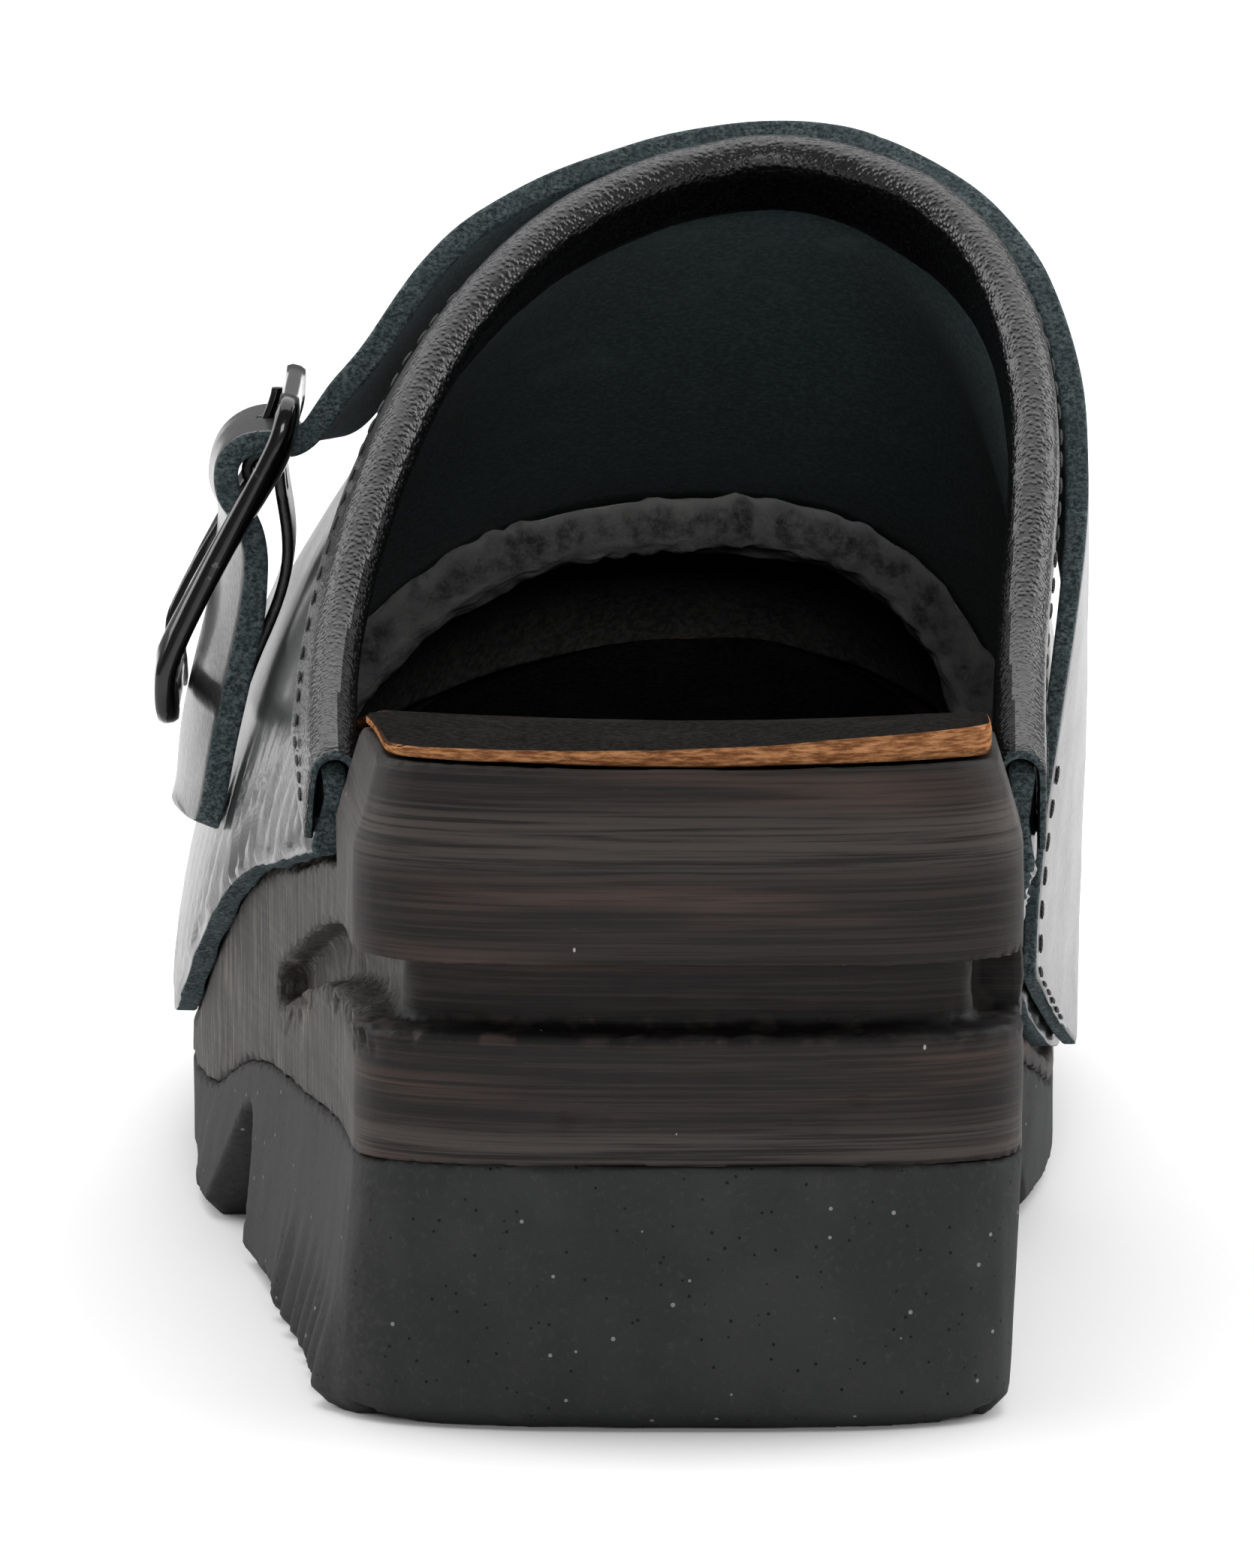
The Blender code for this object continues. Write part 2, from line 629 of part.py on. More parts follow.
def make_insole(collection):
    sections = []
    for station in sole_stations():
        margin = 0.0006 + 0.0052 * ease(station, CAP_START - 0.014, CAP_START - 0.004)
        rims = [Vector((*outline(side, station, -wood_levels(side, station)[-1][0] - margin), 0.0))
                for side in SIDES]
        low = footbed_row(station, rims, 5, lift=CLEARANCE)
        high = footbed_row(station, rims, 5, CLEARANCE + INSOLE_THICKNESS, INSOLE_CURL)
        sections.append(low + high[::-1])
    place("insole", loft("insole", sections), collection,
          material("leather sock", (0.030, 0.028, 0.027), 0.6))


def skin_rows(turns, first, columns, depth=0.0):
    """Grid on the leather, from the toe back to first(turn); depth moves it inwards."""
    last = SOLE_LENGTH * 0.9992
    sections = []
    for turn in turns:
        start = first(turn)
        row = []
        for k in range(columns, -1, -1):
            share = math.sin(math.pi / 2 * k / columns) ** 1.15
            point, normal, _ = skin_frame(turn, start + (last - start) * share)
            row.append(point - normal * depth)
        sections.append(row)
    tip = sum((row[0] for row in sections), Vector()) / len(sections)
    for row in sections:
        row[0] = tip.copy()
    return sections


def make_upper(collection):
    grid = skin_rows(all_turns(), topline_station, 21)
    upper = place("upper", loft("upper", grid, closed=False), collection,
                  material("polished black leather", (0.012, 0.012, 0.013), 0.30))
    solidify(upper, WALL)


def move_on_skin(turn, station, step):
    """Turn and station after a step in space along the leather's surface."""
    turn_step, station_step = 0.004, 0.0004
    sign = 1 if turn < 1 else -1
    across = (skin(turn + sign * turn_step, station) - skin(turn, station)) / (sign * turn_step)
    along = (skin(turn, station + station_step) - skin(turn, station)) / station_step
    aa, bb, ab = across.dot(across), along.dot(along), across.dot(along)
    sa, sb = step.dot(across), step.dot(along)
    spread = aa * bb - ab * ab
    return turn + (sa * bb - sb * ab) / spread, station + (sb * aa - sa * ab) / spread


def folded_strip(turns, edge_station, wall, depth, outer_leg, inner_leg, end_reach=0.0):
    """Sheet folded like a U over the back edge of a wall that lies at a depth under the skin.
    Within end_reach of the strip's ends its legs turn down along the wall's upright end."""
    sections = []
    points = [skin_frame(turn, edge_station(turn)) for turn in turns]
    outside, inside = SLACK - depth, -SLACK - depth - wall
    for k, turn in enumerate(turns):
        point, normal, along = points[k]
        before, after = points[max(0, k - 1)][0], points[min(len(turns) - 1, k + 1)][0]
        into = normal.cross((after - before).normalized()).normalized()
        into = into if into.dot(along) > 0 else -into
        if end_reach:
            sign = -1 if turn < 1 else 1
            down = (skin(turn + sign * 0.01, point.y) - point).normalized()
            at_end = 1 - ease(edge_station(turn) - edge_station(turns[0]), 0.0, end_reach)
            into = into.lerp(down, at_end).normalized()

        def leg(distance, level):
            to_turn, to_station = move_on_skin(turn, edge_station(turn), into * distance)
            here, out, _ = skin_frame(min(1.99, max(0.01, to_turn)), to_station)
            return here + out * level

        row = [leg(outer_leg * part, outside) for part in (1.0, 0.5)] if outer_leg > 0 else []
        centre = point - normal * (depth + wall / 2)
        radius = wall / 2 + SLACK
        for step in range(7):
            angle = math.pi * step / 6
            row.append(centre + normal * radius * math.cos(angle) - into * radius * math.sin(angle))
        row += [leg(inner_leg * part, inside) for part in (0.5, 1.0)]
        sections.append(row)
    return sections


def make_binding(collection):
    grid = folded_strip(topline_turns(), topline_station, WALL, 0.0, BINDING_LEG, BINDING_LEG,
                        end_reach=2 * BINDING_LEG)
    strip = place("topline_binding", loft("topline_binding", grid, closed=False), collection,
                  material("pebbled black leather", (0.022, 0.022, 0.023), 0.42))
    solidify(strip, BINDING_THICKNESS, outwards=True)


def cap_depth():
    """Depth of the toe cap's outer face under the leather's outer face."""
    return WALL + CLEARANCE + CAP_STRIP_THICKNESS + CLEARANCE


def footbed_block(name, cutters, raise_by):
    """Cutter that takes away all below the footbed in the toe."""
    sections = []
    for k in range(13):
        station = CAP_START - 0.02 + (SOLE_LENGTH + 0.03 - CAP_START) * k / 12
        top = footbed(min(station + cap_depth() + CAP_WALL, SOLE_LENGTH)) + raise_by
        sections.append([Vector((x * BALL_WIDTH, station, z)) for x, z in
                         ((-1, 0.0), (1, 0.0), (1, top), (-1, top))])
    return place(name, loft(name, sections, capped=True), cutters)


def make_cap(collection, cutters):
    turns = turns_between(0, 1, 10) + turns_between(1, 2, 10)[1:]
    grid = skin_rows(turns, lambda turn: CAP_START, 10, cap_depth())
    cap = place("toe_cap", loft("toe_cap", grid, closed=False), collection,
                material("matt black cap", (0.018, 0.018, 0.018), 0.8))
    solidify(cap, CAP_WALL)
    cut(cap, footbed_block("cap_cutter", cutters, CLEARANCE + 0.0002))
    grid = folded_strip(turns, lambda turn: CAP_START, CAP_WALL, cap_depth(), 0.0, CAP_STRIP_LEG)
    strip = place("cap_edge_strip", loft("cap_edge_strip", grid, closed=False), collection,
                  material("grey felt", (0.055, 0.056, 0.056), 0.95))
    solidify(strip, CAP_STRIP_THICKNESS, outwards=True)
    cut(strip, footbed_block("strip_cutter", cutters, 2 * CLEARANCE + INSOLE_THICKNESS + 0.0003))


def bow(share):
    """Point x, z on the middle of the buckle's frame, from its top (0) to its bottom (1)."""
    return Vector((-BUCKLE_SIDE - BUCKLE_FLARE * read(BOW, 1, share), BUCKLE_TOP - BUCKLE_DROP * share))


def bow_normal(share):
    step = 0.02
    along = (bow(min(1, share + step)) - bow(max(0, share - step))).normalized()
    return Vector((along.y, -along.x))


def strap_sections():
    """Sections of the strap: base on the inner side, over the instep, through the buckle, tail."""
    sections = []
    span = TOPLINE_REACH + STRAP_SETBACK - ARCH_START
    half = STRAP_THICKNESS / 2
    for k in range(25):
        place_over = STRAP_OVER[-1][0] * k / 24
        back = ARCH_START + span * read(STRAP_OVER, 1, place_over)
        lift = STRAP_THICKNESS * read(STRAP_OVER, 2, place_over)
        spread = read(STRAP_OVER, 3, place_over)
        width = STRAP_WIDTH + STRAP_BASE_SPREAD * spread
        thickness = STRAP_THICKNESS * (1 - STRAP_SKIVING * spread)
        turn = min(1.995, 2 - place_over)
        low, high = [], []
        for part in (0.0, 0.5, 1.0):
            here, normal, along = skin_frame(turn, back + width * part)
            rise = lift + (min(lift, STRAP_THICKNESS * STRAP_FRONT_LIFT) - lift) * part
            low.append(here + normal * rise)
            high.append(here + normal * (rise + thickness))
        sections.append(low + high[::-1])
    path = smooth_path([Vector((-BUCKLE_SIDE - BUCKLE_FLARE * row[0], BUCKLE_TOP - BUCKLE_DROP * row[1]))
                        for row in STRAP_FREE], 2)
    ways = smooth_path([Vector(row[2:]) for row in STRAP_FREE], 2)
    slope = (sections[-1][2] - sections[-1][0]).xz
    for k, centre in enumerate(path):
        along = (path[min(len(path) - 1, k + 1)] - path[max(0, k - 1)]).normalized()
        outward = Vector((along.y, -along.x))
        low, high = [], []
        for part in (0.0, 0.5, 1.0):
            out = STRAP_SWING * part * (2 - part) * ways[k].x
            middle = centre + Vector((-out, 0)) + slope * part * ways[k].z
            inset = TAIL_ROUNDING * round_end(k / (len(path) - 1), part)
            station = TAIL_STATION + (back - TAIL_STATION) * ways[k].y + STRAP_WIDTH * part + inset
            low.append(Vector((middle.x - outward.x * half, station, middle.y - outward.y * half)))
            high.append(Vector((middle.x + outward.x * half, station, middle.y + outward.y * half)))
        sections.append(low + high[::-1])
    return sections


def smooth_path(points, steps):
    """Points of a smooth curve through the given points."""
    made = []
    for k in range(len(points) - 1):
        before = points[max(0, k - 1)]
        start, end = points[k], points[k + 1]
        after = points[min(len(points) - 1, k + 2)]
        for step in range(steps):
            t = step / steps
            made.append(0.5 * (2 * start + (end - before) * t + (2 * before - 5 * start + 4 * end - after) * t ** 2
                               + (3 * start - before - 3 * end + after) * t ** 3))
    made.append(points[-1].copy())
    return made


def round_end(share, part):
    """Share of the tail's rounding at a point: inwards from both edges near the tail's end."""
    return (0.5 - part) * 2 * (1 - round_off((share - 0.90) / 0.12, 2.0))


def prong_station():
    return TAIL_STATION + STRAP_WIDTH / 2


def make_strap(collection, cutters):
    strap = place("instep_strap", loft("instep_strap", strap_sections(), capped=True), collection,
                  material("black strap leather", (0.012, 0.012, 0.013), 0.32))
    start, end = prong_route()[-4], prong_route()[-2]
    reach = (end - start).normalized() * PRONG_RADIUS
    cut(strap, rod("hole_cutter", start + reach, end - reach, PRONG_RADIUS + SLACK, cutters))


def make_frame(collection, cutters):
    """Buckle's frame: a rounded rectangle bent along the bow, with a pin across it."""
    half_width = (STRAP_WIDTH + BUCKLE_BAR) / 2 + BUCKLE_PLAY
    sections = []
    for k in range(36):
        angle = 2 * math.pi * (k + 0.5) / 36
        across = math.copysign(abs(math.cos(angle)) ** FRAME_CORNER, math.cos(angle))
        down = math.copysign(abs(math.sin(angle)) ** FRAME_CORNER, math.sin(angle))
        section = []
        for out, level in ((1, 0.5), (1, -0.5), (-1, -0.5), (-1, 0.5)):
            share = 0.5 + 0.5 * down
            middle = bow(share) + bow_normal(share) * BUCKLE_THICKNESS * level
            middle.y -= BUCKLE_BAR / 2 * out * down
            station = prong_station() + (half_width + BUCKLE_BAR / 2 * out) * across
            section.append(Vector((middle.x, station, middle.y)))
        sections.append(section)
    sections.append(sections[0])
    frame = place("buckle_frame", loft("buckle_frame", sections), collection,
                  material("dark nickel", (0.10, 0.10, 0.105), 0.22, 1.0))
    pin = bow(PIN_SHARE)
    ends = [Vector((pin.x, prong_station() + half_width * side, pin.y)) for side in SIDES]
    cut(frame, rod("pin_to_join", ends[0], ends[1], PIN_RADIUS, cutters), "UNION")


def turn_at_height(station, height):
    """Turn of the outer side's point at a height."""
    low, high = leather_edge(-1, station), ridge_height(station)
    power = min(2.0, read(LAST, 3, station / SOLE_LENGTH))
    part = max(0.0, (height - low) / (high - low))
    return math.asin(min(1.0, part ** (power / 2))) / (math.pi / 2)


def make_holder(collection, cutters):
    """Short strap that holds the buckle: hooked over the pin, then down the upper's outer side."""
    pin = bow(PIN_SHARE)
    back = TAIL_STATION + HOLDER_SET_IN
    inner, outer = PIN_RADIUS + CLEARANCE, PIN_RADIUS + CLEARANCE + HOLDER_THICKNESS
    sections = []
    for k in range(13):
        angle = math.radians(225 - 225 * k / 12)
        ray = Vector((math.cos(angle), math.sin(angle)))
        low = [Vector((pin.x + ray.x * inner, back + HOLDER_WIDTH * part, pin.y + ray.y * inner))
               for part in (0, 0.5, 1)]
        high = [Vector((pin.x + ray.x * outer, back + HOLDER_WIDTH * part, pin.y + ray.y * outer))
                for part in (0, 0.5, 1)]
        sections.append(high + low[::-1])
    for k in range(1, 17):
        height = pin.y + (HOLDER_END - pin.y) * k / 16
        blend = ease(pin.y - height, 0.0, pin.y - HOLDER_LANDING)
        low, high = [], []
        for part in (0, 0.5, 1):
            station = back + HOLDER_WIDTH * part
            point, normal, _ = skin_frame(turn_at_height(station, height), station)
            near = point + normal * 2 * SLACK
            far = point + normal * (2 * SLACK + HOLDER_THICKNESS)
            low.append(Vector((pin.x + outer, station, height)).lerp(near, blend))
            high.append(Vector((pin.x + inner, station, height)).lerp(far, blend))
        sections.append(low + high[::-1])
    holder = place("buckle_strap", loft("buckle_strap", sections, capped=True), collection,
                   material("black holder leather", (0.012, 0.012, 0.013), 0.35))
    slot = PRONG_RADIUS + 2 * CLEARANCE
    reach = outer + CLEARANCE
    corners = ((-reach, -reach), (reach, -reach), (reach, reach), (-reach, reach))
    walls = [[Vector((pin.x + x, prong_station() + slot * side, pin.y + z)) for x, z in corners]
             for side in SIDES]
    cut(holder, place("slot_cutter", loft("slot_cutter", walls, capped=True), cutters))


def prong_route():
    """Points of the prong: a ring round the pin, then up onto the frame's upper end."""
    pin = bow(PIN_SHARE)
    radius = PIN_RADIUS + CLEARANCE + PRONG_RADIUS
    station = prong_station()
    route = []
    for k in range(14):
        angle = math.radians(PRONG_RING_START - PRONG_RING_TURN * k / 13)
        route.append(Vector((pin.x + radius * math.cos(angle), station, pin.y + radius * math.sin(angle))))
    rest = BUCKLE_THICKNESS / 2 + CLEARANCE + PRONG_RADIUS
    end = Vector((bow(0.0).x - rest, station, bow(0.0).y))
    tip = end + Vector((0, 0, BUCKLE_BAR / 2 - PRONG_RADIUS))
    return route + [route[-1].lerp(end, 0.5), end, tip]


def make_prong(collection):
    curve = bpy.data.curves.new("buckle_prong", "CURVE")
    curve.dimensions = "3D"
    curve.bevel_depth = PRONG_RADIUS
    curve.bevel_resolution = 1
    curve.use_fill_caps = True
    line = curve.splines.new("POLY")
    route = prong_route()
    line.points.add(len(route) - 1)
    for point, at in zip(line.points, route):
        point.co = (*at, 1)
    place("buckle_prong", curve, collection, material("prong nickel", (0.10, 0.10, 0.105), 0.25, 1.0))


def main():
    for old in list(bpy.data.objects):
        bpy.data.objects.remove(old)
    clog = bpy.data.collections.new("Safety clog")
    cutters = bpy.data.collections.new("Cutters")
    bpy.context.scene.collection.children.link(clog)
    bpy.context.scene.collection.children.link(cutters)
    make_wood(clog, cutters)
    make_outsole(clog, cutters)
    make_insole(clog)
    make_upper(clog)
    make_binding(clog)
    make_cap(clog, cutters)
    make_strap(clog, cutters)
    make_frame(clog, cutters)
    make_holder(clog, cutters)
    make_prong(clog)


main()
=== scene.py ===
"""Left safety clog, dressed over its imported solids.

Metres, +Z up, +Y to the toe, +X to the inner side of the foot, origin on the floor under the
heel. Fine pieces are copies of the solids with more faces, worked over with folds, pleats and
torn grain; the leather, wood and rubber are node materials on object coordinates.
"""
import math

import bmesh
import bpy
from mathutils import Matrix, Vector, noise
from mathutils.bvhtree import BVHTree


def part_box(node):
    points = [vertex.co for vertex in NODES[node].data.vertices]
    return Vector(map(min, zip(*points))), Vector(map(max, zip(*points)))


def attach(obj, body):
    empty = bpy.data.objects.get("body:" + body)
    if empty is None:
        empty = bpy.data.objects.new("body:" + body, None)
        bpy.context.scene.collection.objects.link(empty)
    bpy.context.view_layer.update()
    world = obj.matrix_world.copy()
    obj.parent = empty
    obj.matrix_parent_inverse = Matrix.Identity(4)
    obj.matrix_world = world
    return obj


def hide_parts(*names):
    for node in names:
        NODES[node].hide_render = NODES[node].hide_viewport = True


MM = 0.001

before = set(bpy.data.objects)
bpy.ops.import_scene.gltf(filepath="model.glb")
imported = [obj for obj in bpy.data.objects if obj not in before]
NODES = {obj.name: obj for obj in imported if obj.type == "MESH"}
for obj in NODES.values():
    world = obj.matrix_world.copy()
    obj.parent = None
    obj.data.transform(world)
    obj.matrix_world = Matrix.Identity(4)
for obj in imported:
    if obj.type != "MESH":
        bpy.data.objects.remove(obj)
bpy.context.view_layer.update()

# Camera: the photograph's place and angle, framed on this one shoe
CAMERA_PLACE = Vector((0.0, -1.345, 0.292))
CAMERA_AIM = Vector((-0.0062, 0.015, 0.0602))
CAMERA_LENS = 285.5
SENSOR_LONG_SIDE = 36.0

# Shape of the solids that the detail follows
BACK = -0.045                # back of the heel
SOLE_LENGTH = 0.268
SOLE_ROWS = 40               # rows of the sole's solid, close together at both ends
GROOVE_DROP = 0.0208         # footbed down to the top of the groove
GROOVE_HEIGHT = 0.0083
GROOVE_FRONT = 0.038         # where the groove ends on the outer side
WING_END = -0.003            # where the upper's wings end
CAP_EDGE = 0.161             # back edge of the toe cap
TOPLINE_PEAK = 0.080         # where the topline is highest

# Fine copies: grain of the even grids, and where a side ends and an edge stays sharp
WOOD_GRID = 0.00088
RUBBER_GRID = 0.00086
SMOOTH_ANGLE = 1.1
SHARP_ANGLE = math.radians(48)

# Fine forms that are worked into the copies
TORN_DEPTH = 0.0017          # torn grain in the groove's lower corner
RIB_PITCH = 0.0072           # ribs on the heel's outer flank
RIB_DEPTH = 0.0015
RUBBER_LIFT = 0.00026        # closes the gap under the wood
GATHER_PITCH = 0.0068        # folds above the vamp's nailed edge
GATHER_DEPTH = 0.0008
GATHER_HEIGHT = 0.021
CRIMP_PITCH = 0.0019         # crosswise crimps of the cut edge
CRIMP_DEPTH = 0.0002
PLEAT_PITCH = 0.0046         # pleats of the strip on the toe cap
PLEAT_DEPTH = 0.00042

# Height of the leather's lower edge is read at rows this far apart
EDGE_STEP = 0.005
EDGE_TOE_ROW = 24            # ahead of this row every height counts

# Stitches
STITCH_PITCH = 0.0034
STITCH_LENGTH = 0.0026
STITCH_RADIUS = 0.00027
STITCH_LIFT = 0.00012        # leather up to the stitch's middle
STITCH_SET_IN = 0.0070       # topline to the stitch row
BASE_STITCH_PITCH = 0.0039
BASE_STITCH_SET_IN = 0.0026  # back edge of the strap's base to the stitch row


class Value:
    """Shader socket that adds its own Math nodes in sums."""

    def __init__(self, finish, socket):
        self.finish, self.socket = finish, socket

    def sum(self, operation, first, second=None):
        sockets = {0: first} if second is None else {0: first, 1: second}
        return self.finish.node("ShaderNodeMath", {"operation": operation}, sockets)[0]

    def __add__(self, other):
        return self.sum("ADD", self, other)

    def __sub__(self, other):
        return self.sum("SUBTRACT", self, other)

    def __rsub__(self, other):
        return self.sum("SUBTRACT", other, self)

    def __mul__(self, other):
        return self.sum("MULTIPLY", self, other)

    def over(self, level):
        """1 above the level, 0 below."""
        return self.sum("GREATER_THAN", self, level)

    def absolute(self):
        return self.sum("ABSOLUTE", self)

    def sine(self):
        return self.sum("SINE", self)

    def most(self, other):
        """The larger of the two."""
        return self.sum("MAXIMUM", self, other)

    def between(self, low, high):
        """0 at low, 1 at high, smooth between and level beyond."""
        return self.finish.node("ShaderNodeMapRange", {"interpolation_type": "SMOOTHSTEP", "clamp": True},
                                {"Value": self, "From Min": low, "From Max": high})[0]

    __radd__ = __add__


class Finish:
    """Node material on a Principled shader."""

    def __init__(self, name, **steady):
        self.material = bpy.data.materials.new(name)
        self.material.use_nodes = True
        self.tree = self.material.node_tree
        self.shader = self.tree.nodes["Principled BSDF"]
        for key, value in steady.items():
            self.shader.inputs[key.replace("_", " ").title().replace("Ior", "IOR")].default_value = value
        self.place = self.node("ShaderNodeTexCoord")["Object"]
        split = self.node("ShaderNodeSeparateXYZ", {}, {0: self.place})
        self.x, self.y, self.z = split[0], split[1], split[2]

    def node(self, kind, settings=None, sockets=None):
        """New node; its outputs are found by name or number."""
        made = self.tree.nodes.new(kind)
        for key, value in (settings or {}).items():
            setattr(made, key, value)
        for key, value in (sockets or {}).items():
            self.wire(made.inputs[key], value)
        names = {k: Value(self, socket) for k, socket in enumerate(made.outputs)}
        names.update({socket.name: Value(self, socket) for socket in made.outputs})
        return names

    def wire(self, socket, value):
        """Links a value into a socket, or sets the socket to a steady one."""
        if isinstance(value, Value):
            self.tree.links.new(value.socket, socket)
        elif socket.type == "RGBA" and len(value) == 3:
            socket.default_value = (*value, 1.0)
        else:
            socket.default_value = value

    def mix(self, share, first, second):
        """Colour between two colours."""
        return self.node("ShaderNodeMix", {"data_type": "RGBA", "clamp_factor": True},
                         {0: share, 6: first, 7: second})[2]

    def stretched(self, size):
        """Object coordinates in units of a grain, of one size or of one each along x, y and z."""
        sizes = size if isinstance(size, tuple) else (size, size, size)
        return self.node("ShaderNodeMapping", {},
                         {"Vector": self.place, "Scale": [1 / length for length in sizes]})[0]

    def cloud(self, size, detail=3.0, rough=0.55, twist=0.0):
        """Noise of about that grain size, 0 to 1."""
        return self.node("ShaderNodeTexNoise", {},
                         {"Vector": self.stretched(size), "Scale": 1.0, "Detail": detail,
                          "Roughness": rough, "Distortion": twist})["Fac"]

    def cells(self, size):
        """Distance to the nearest of scattered points about that far apart."""
        return self.node("ShaderNodeTexVoronoi", {},
                         {"Vector": self.stretched(size), "Scale": 1.0})["Distance"]

    def colour(self, value):
        self.wire(self.shader.inputs["Base Color"], value)

    def rough(self, value):
        self.wire(self.shader.inputs["Roughness"], value)

    def relief(self, *layers):
        """Bumps: pairs of a height from 0 to 1 and its depth in metres."""
        height = layers[0][0] * layers[0][1]
        for layer, depth in layers[1:]:
            height = height + layer * depth
        self.wire(self.shader.inputs["Normal"],
                  self.node("ShaderNodeBump", {}, {"Height": height, "Distance": 1.0, "Strength": 1.0})[0])


def polished_leather():
    """Smooth waxed leather with a fine pore grain."""
    finish = Finish("polished black leather", coat_weight=0.35, coat_roughness=0.14, specular_ior_level=0.5)
    pores = finish.cells(0.75 * MM)
    soft = finish.cloud(5.5 * MM, 4.0)
    worn = finish.cloud(19 * MM, 3.0)
    finish.colour(finish.mix(worn.between(0.45, 0.75), (0.0035, 0.0036, 0.0038), (0.010, 0.0102, 0.0106)))
    finish.rough(0.27 + soft * 0.14 + pores * 0.06)
    finish.relief((pores, 0.04 * MM), (soft, 0.09 * MM), (finish.cloud(0.35 * MM, 2.0), 0.012 * MM))
    return finish.material


def pebbled_leather(name, sheen):
    """Soft binding leather with round pebbles; sheen is how strongly its surface shines, and it also sets
    how strong the pale patches of painted sheen in its colour are.
    """
    finish = Finish(name, specular_ior_level=sheen)
    pebbles = finish.cells(0.62 * MM)
    fine = finish.cells(0.36 * MM)
    dust = finish.cloud(6 * MM, 4.0)
    tops = 1 - pebbles.between(0.15, 0.70)
    base = finish.mix(tops, (0.0025, 0.0026, 0.0028), (0.0060, 0.0062, 0.0065))
    # pale patches, partly dust and partly painted sheen: the dust cloud lightens the colour, scaled by
    # sheen, so a low sheen gives a darker copy
    finish.colour(finish.mix(dust.between(0.55, 0.8) * 0.4 * sheen, base, (0.014, 0.014, 0.0142)))
    finish.rough(0.31 - tops * 0.10 + dust * 0.06)
    finish.relief((tops, 0.08 * MM), (1 - fine, 0.02 * MM))
    return finish.material


def cut_leather():
    """Fibrous cut edge of dyed leather, dark green-grey."""
    finish = Finish("cut leather edge", specular_ior_level=0.15)
    fibres = finish.cloud((0.55 * MM, 0.55 * MM, 0.4 * MM), 5.0, 0.75)
    specks = finish.cells(0.42 * MM)
    patches = finish.cloud(3.5 * MM, 3.0)
    base = finish.mix(fibres.between(0.38, 0.66), (0.016, 0.024, 0.026), (0.125, 0.160, 0.166))
    finish.colour(finish.mix(patches.between(0.35, 0.7) * 0.5, base, (0.036, 0.053, 0.057)))
    finish.rough(0.86 + fibres * 0.1)
    finish.relief((fibres, 0.24 * MM), (specks, 0.08 * MM))
    return finish.material


def lining_leather():
    """Nap of the lining, nearly black with a blue-green tone."""
    finish = Finish("lining leather", specular_ior_level=0.12, sheen_weight=0.10, sheen_roughness=0.5)
    nap = finish.cloud((0.7 * MM, 0.9 * MM, 0.45 * MM), 5.0, 0.7)
    rubbed = finish.cloud((9 * MM, 14 * MM, 9 * MM), 4.0, 0.6)
    base = finish.mix(nap.between(0.38, 0.7), (0.030, 0.052, 0.057), (0.085, 0.130, 0.138))
    finish.colour(finish.mix(rubbed.between(0.52, 0.8) * 0.6, base, (0.105, 0.146, 0.152)))
    finish.rough(0.82 + nap * 0.12)
    finish.relief((nap, 0.14 * MM), (rubbed, 0.15 * MM))
    return finish.material


def stained_wood():
    """Black stained wood: fine level grain behind, rubbed upright streaks on the sides."""
    finish = Finish("black stained wood", specular_ior_level=0.22)
    grain = finish.cloud((30 * MM, 30 * MM, 0.42 * MM), 5.0, 0.62, twist=0.25)
    bands = finish.cloud((60 * MM, 40 * MM, 5.5 * MM), 3.0, 0.5)
    streaks = finish.cloud((0.75 * MM, 0.75 * MM, 15 * MM), 5.0, 0.7, twist=0.2)
    scuffs = finish.cloud((5 * MM, 5 * MM, 9 * MM), 4.0, 0.6)
    pores = finish.cloud((2.2 * MM, 2.2 * MM, 0.20 * MM), 3.0, 0.7)
    back = finish.mix(grain.between(0.40, 0.68), (0.0075, 0.0062, 0.0058), (0.025, 0.0190, 0.0168))
    back = finish.mix(bands.between(0.50, 0.70) * grain.between(0.3, 0.6), back, (0.052, 0.032, 0.026))
    back = finish.mix(pores.between(0.62, 0.78) * 0.3, back, (0.060, 0.052, 0.048))
    # the corners along the bottom and under the rim are rubbed a little paler
    low_edge = 1 - (finish.z - 0.0310).absolute().between(0.0004, 0.0030)
    rim = 1 - (finish.z - 0.0640).absolute().between(0.0010, 0.0050)
    back = finish.mix(low_edge.most(rim) * grain.between(0.35, 0.6) * 0.7, back, (0.060, 0.051, 0.047))
    # torn fibres in the groove's lower corner are black
    torn = 1 - (finish.z - 0.0432).absolute().between(0.0004, 0.0019)
    back = finish.mix(torn * scuffs.between(0.40, 0.52), back, (0.0020, 0.0018, 0.0017))
    side = finish.mix(streaks.between(0.42, 0.62), (0.0085, 0.0078, 0.0074), (0.115, 0.100, 0.090))
    side = finish.mix(scuffs.between(0.34, 0.58) * 0.75, side, (0.020, 0.0175, 0.0165))
    # only the outer flank ahead of the heel's corner is rubbed pale
    flank = finish.y.between(-0.038, -0.022) * finish.x.between(-0.026, -0.033)
    worn = flank * (1 - finish.z.between(0.052, 0.066))
    shade = finish.mix(worn, back, side)
    dust = finish.cells((6 * MM, 6 * MM, 10 * MM))
    shade = finish.mix((0.028 - dust).over(0.0), shade, (0.30, 0.30, 0.29))
    finish.colour(shade)
    finish.rough(0.56 + grain * 0.16 - bands * 0.08)
    finish.relief((grain, 0.08 * MM), (streaks * worn, 0.30 * MM), (pores, 0.03 * MM), (scuffs, 0.12 * MM))
    return finish.material


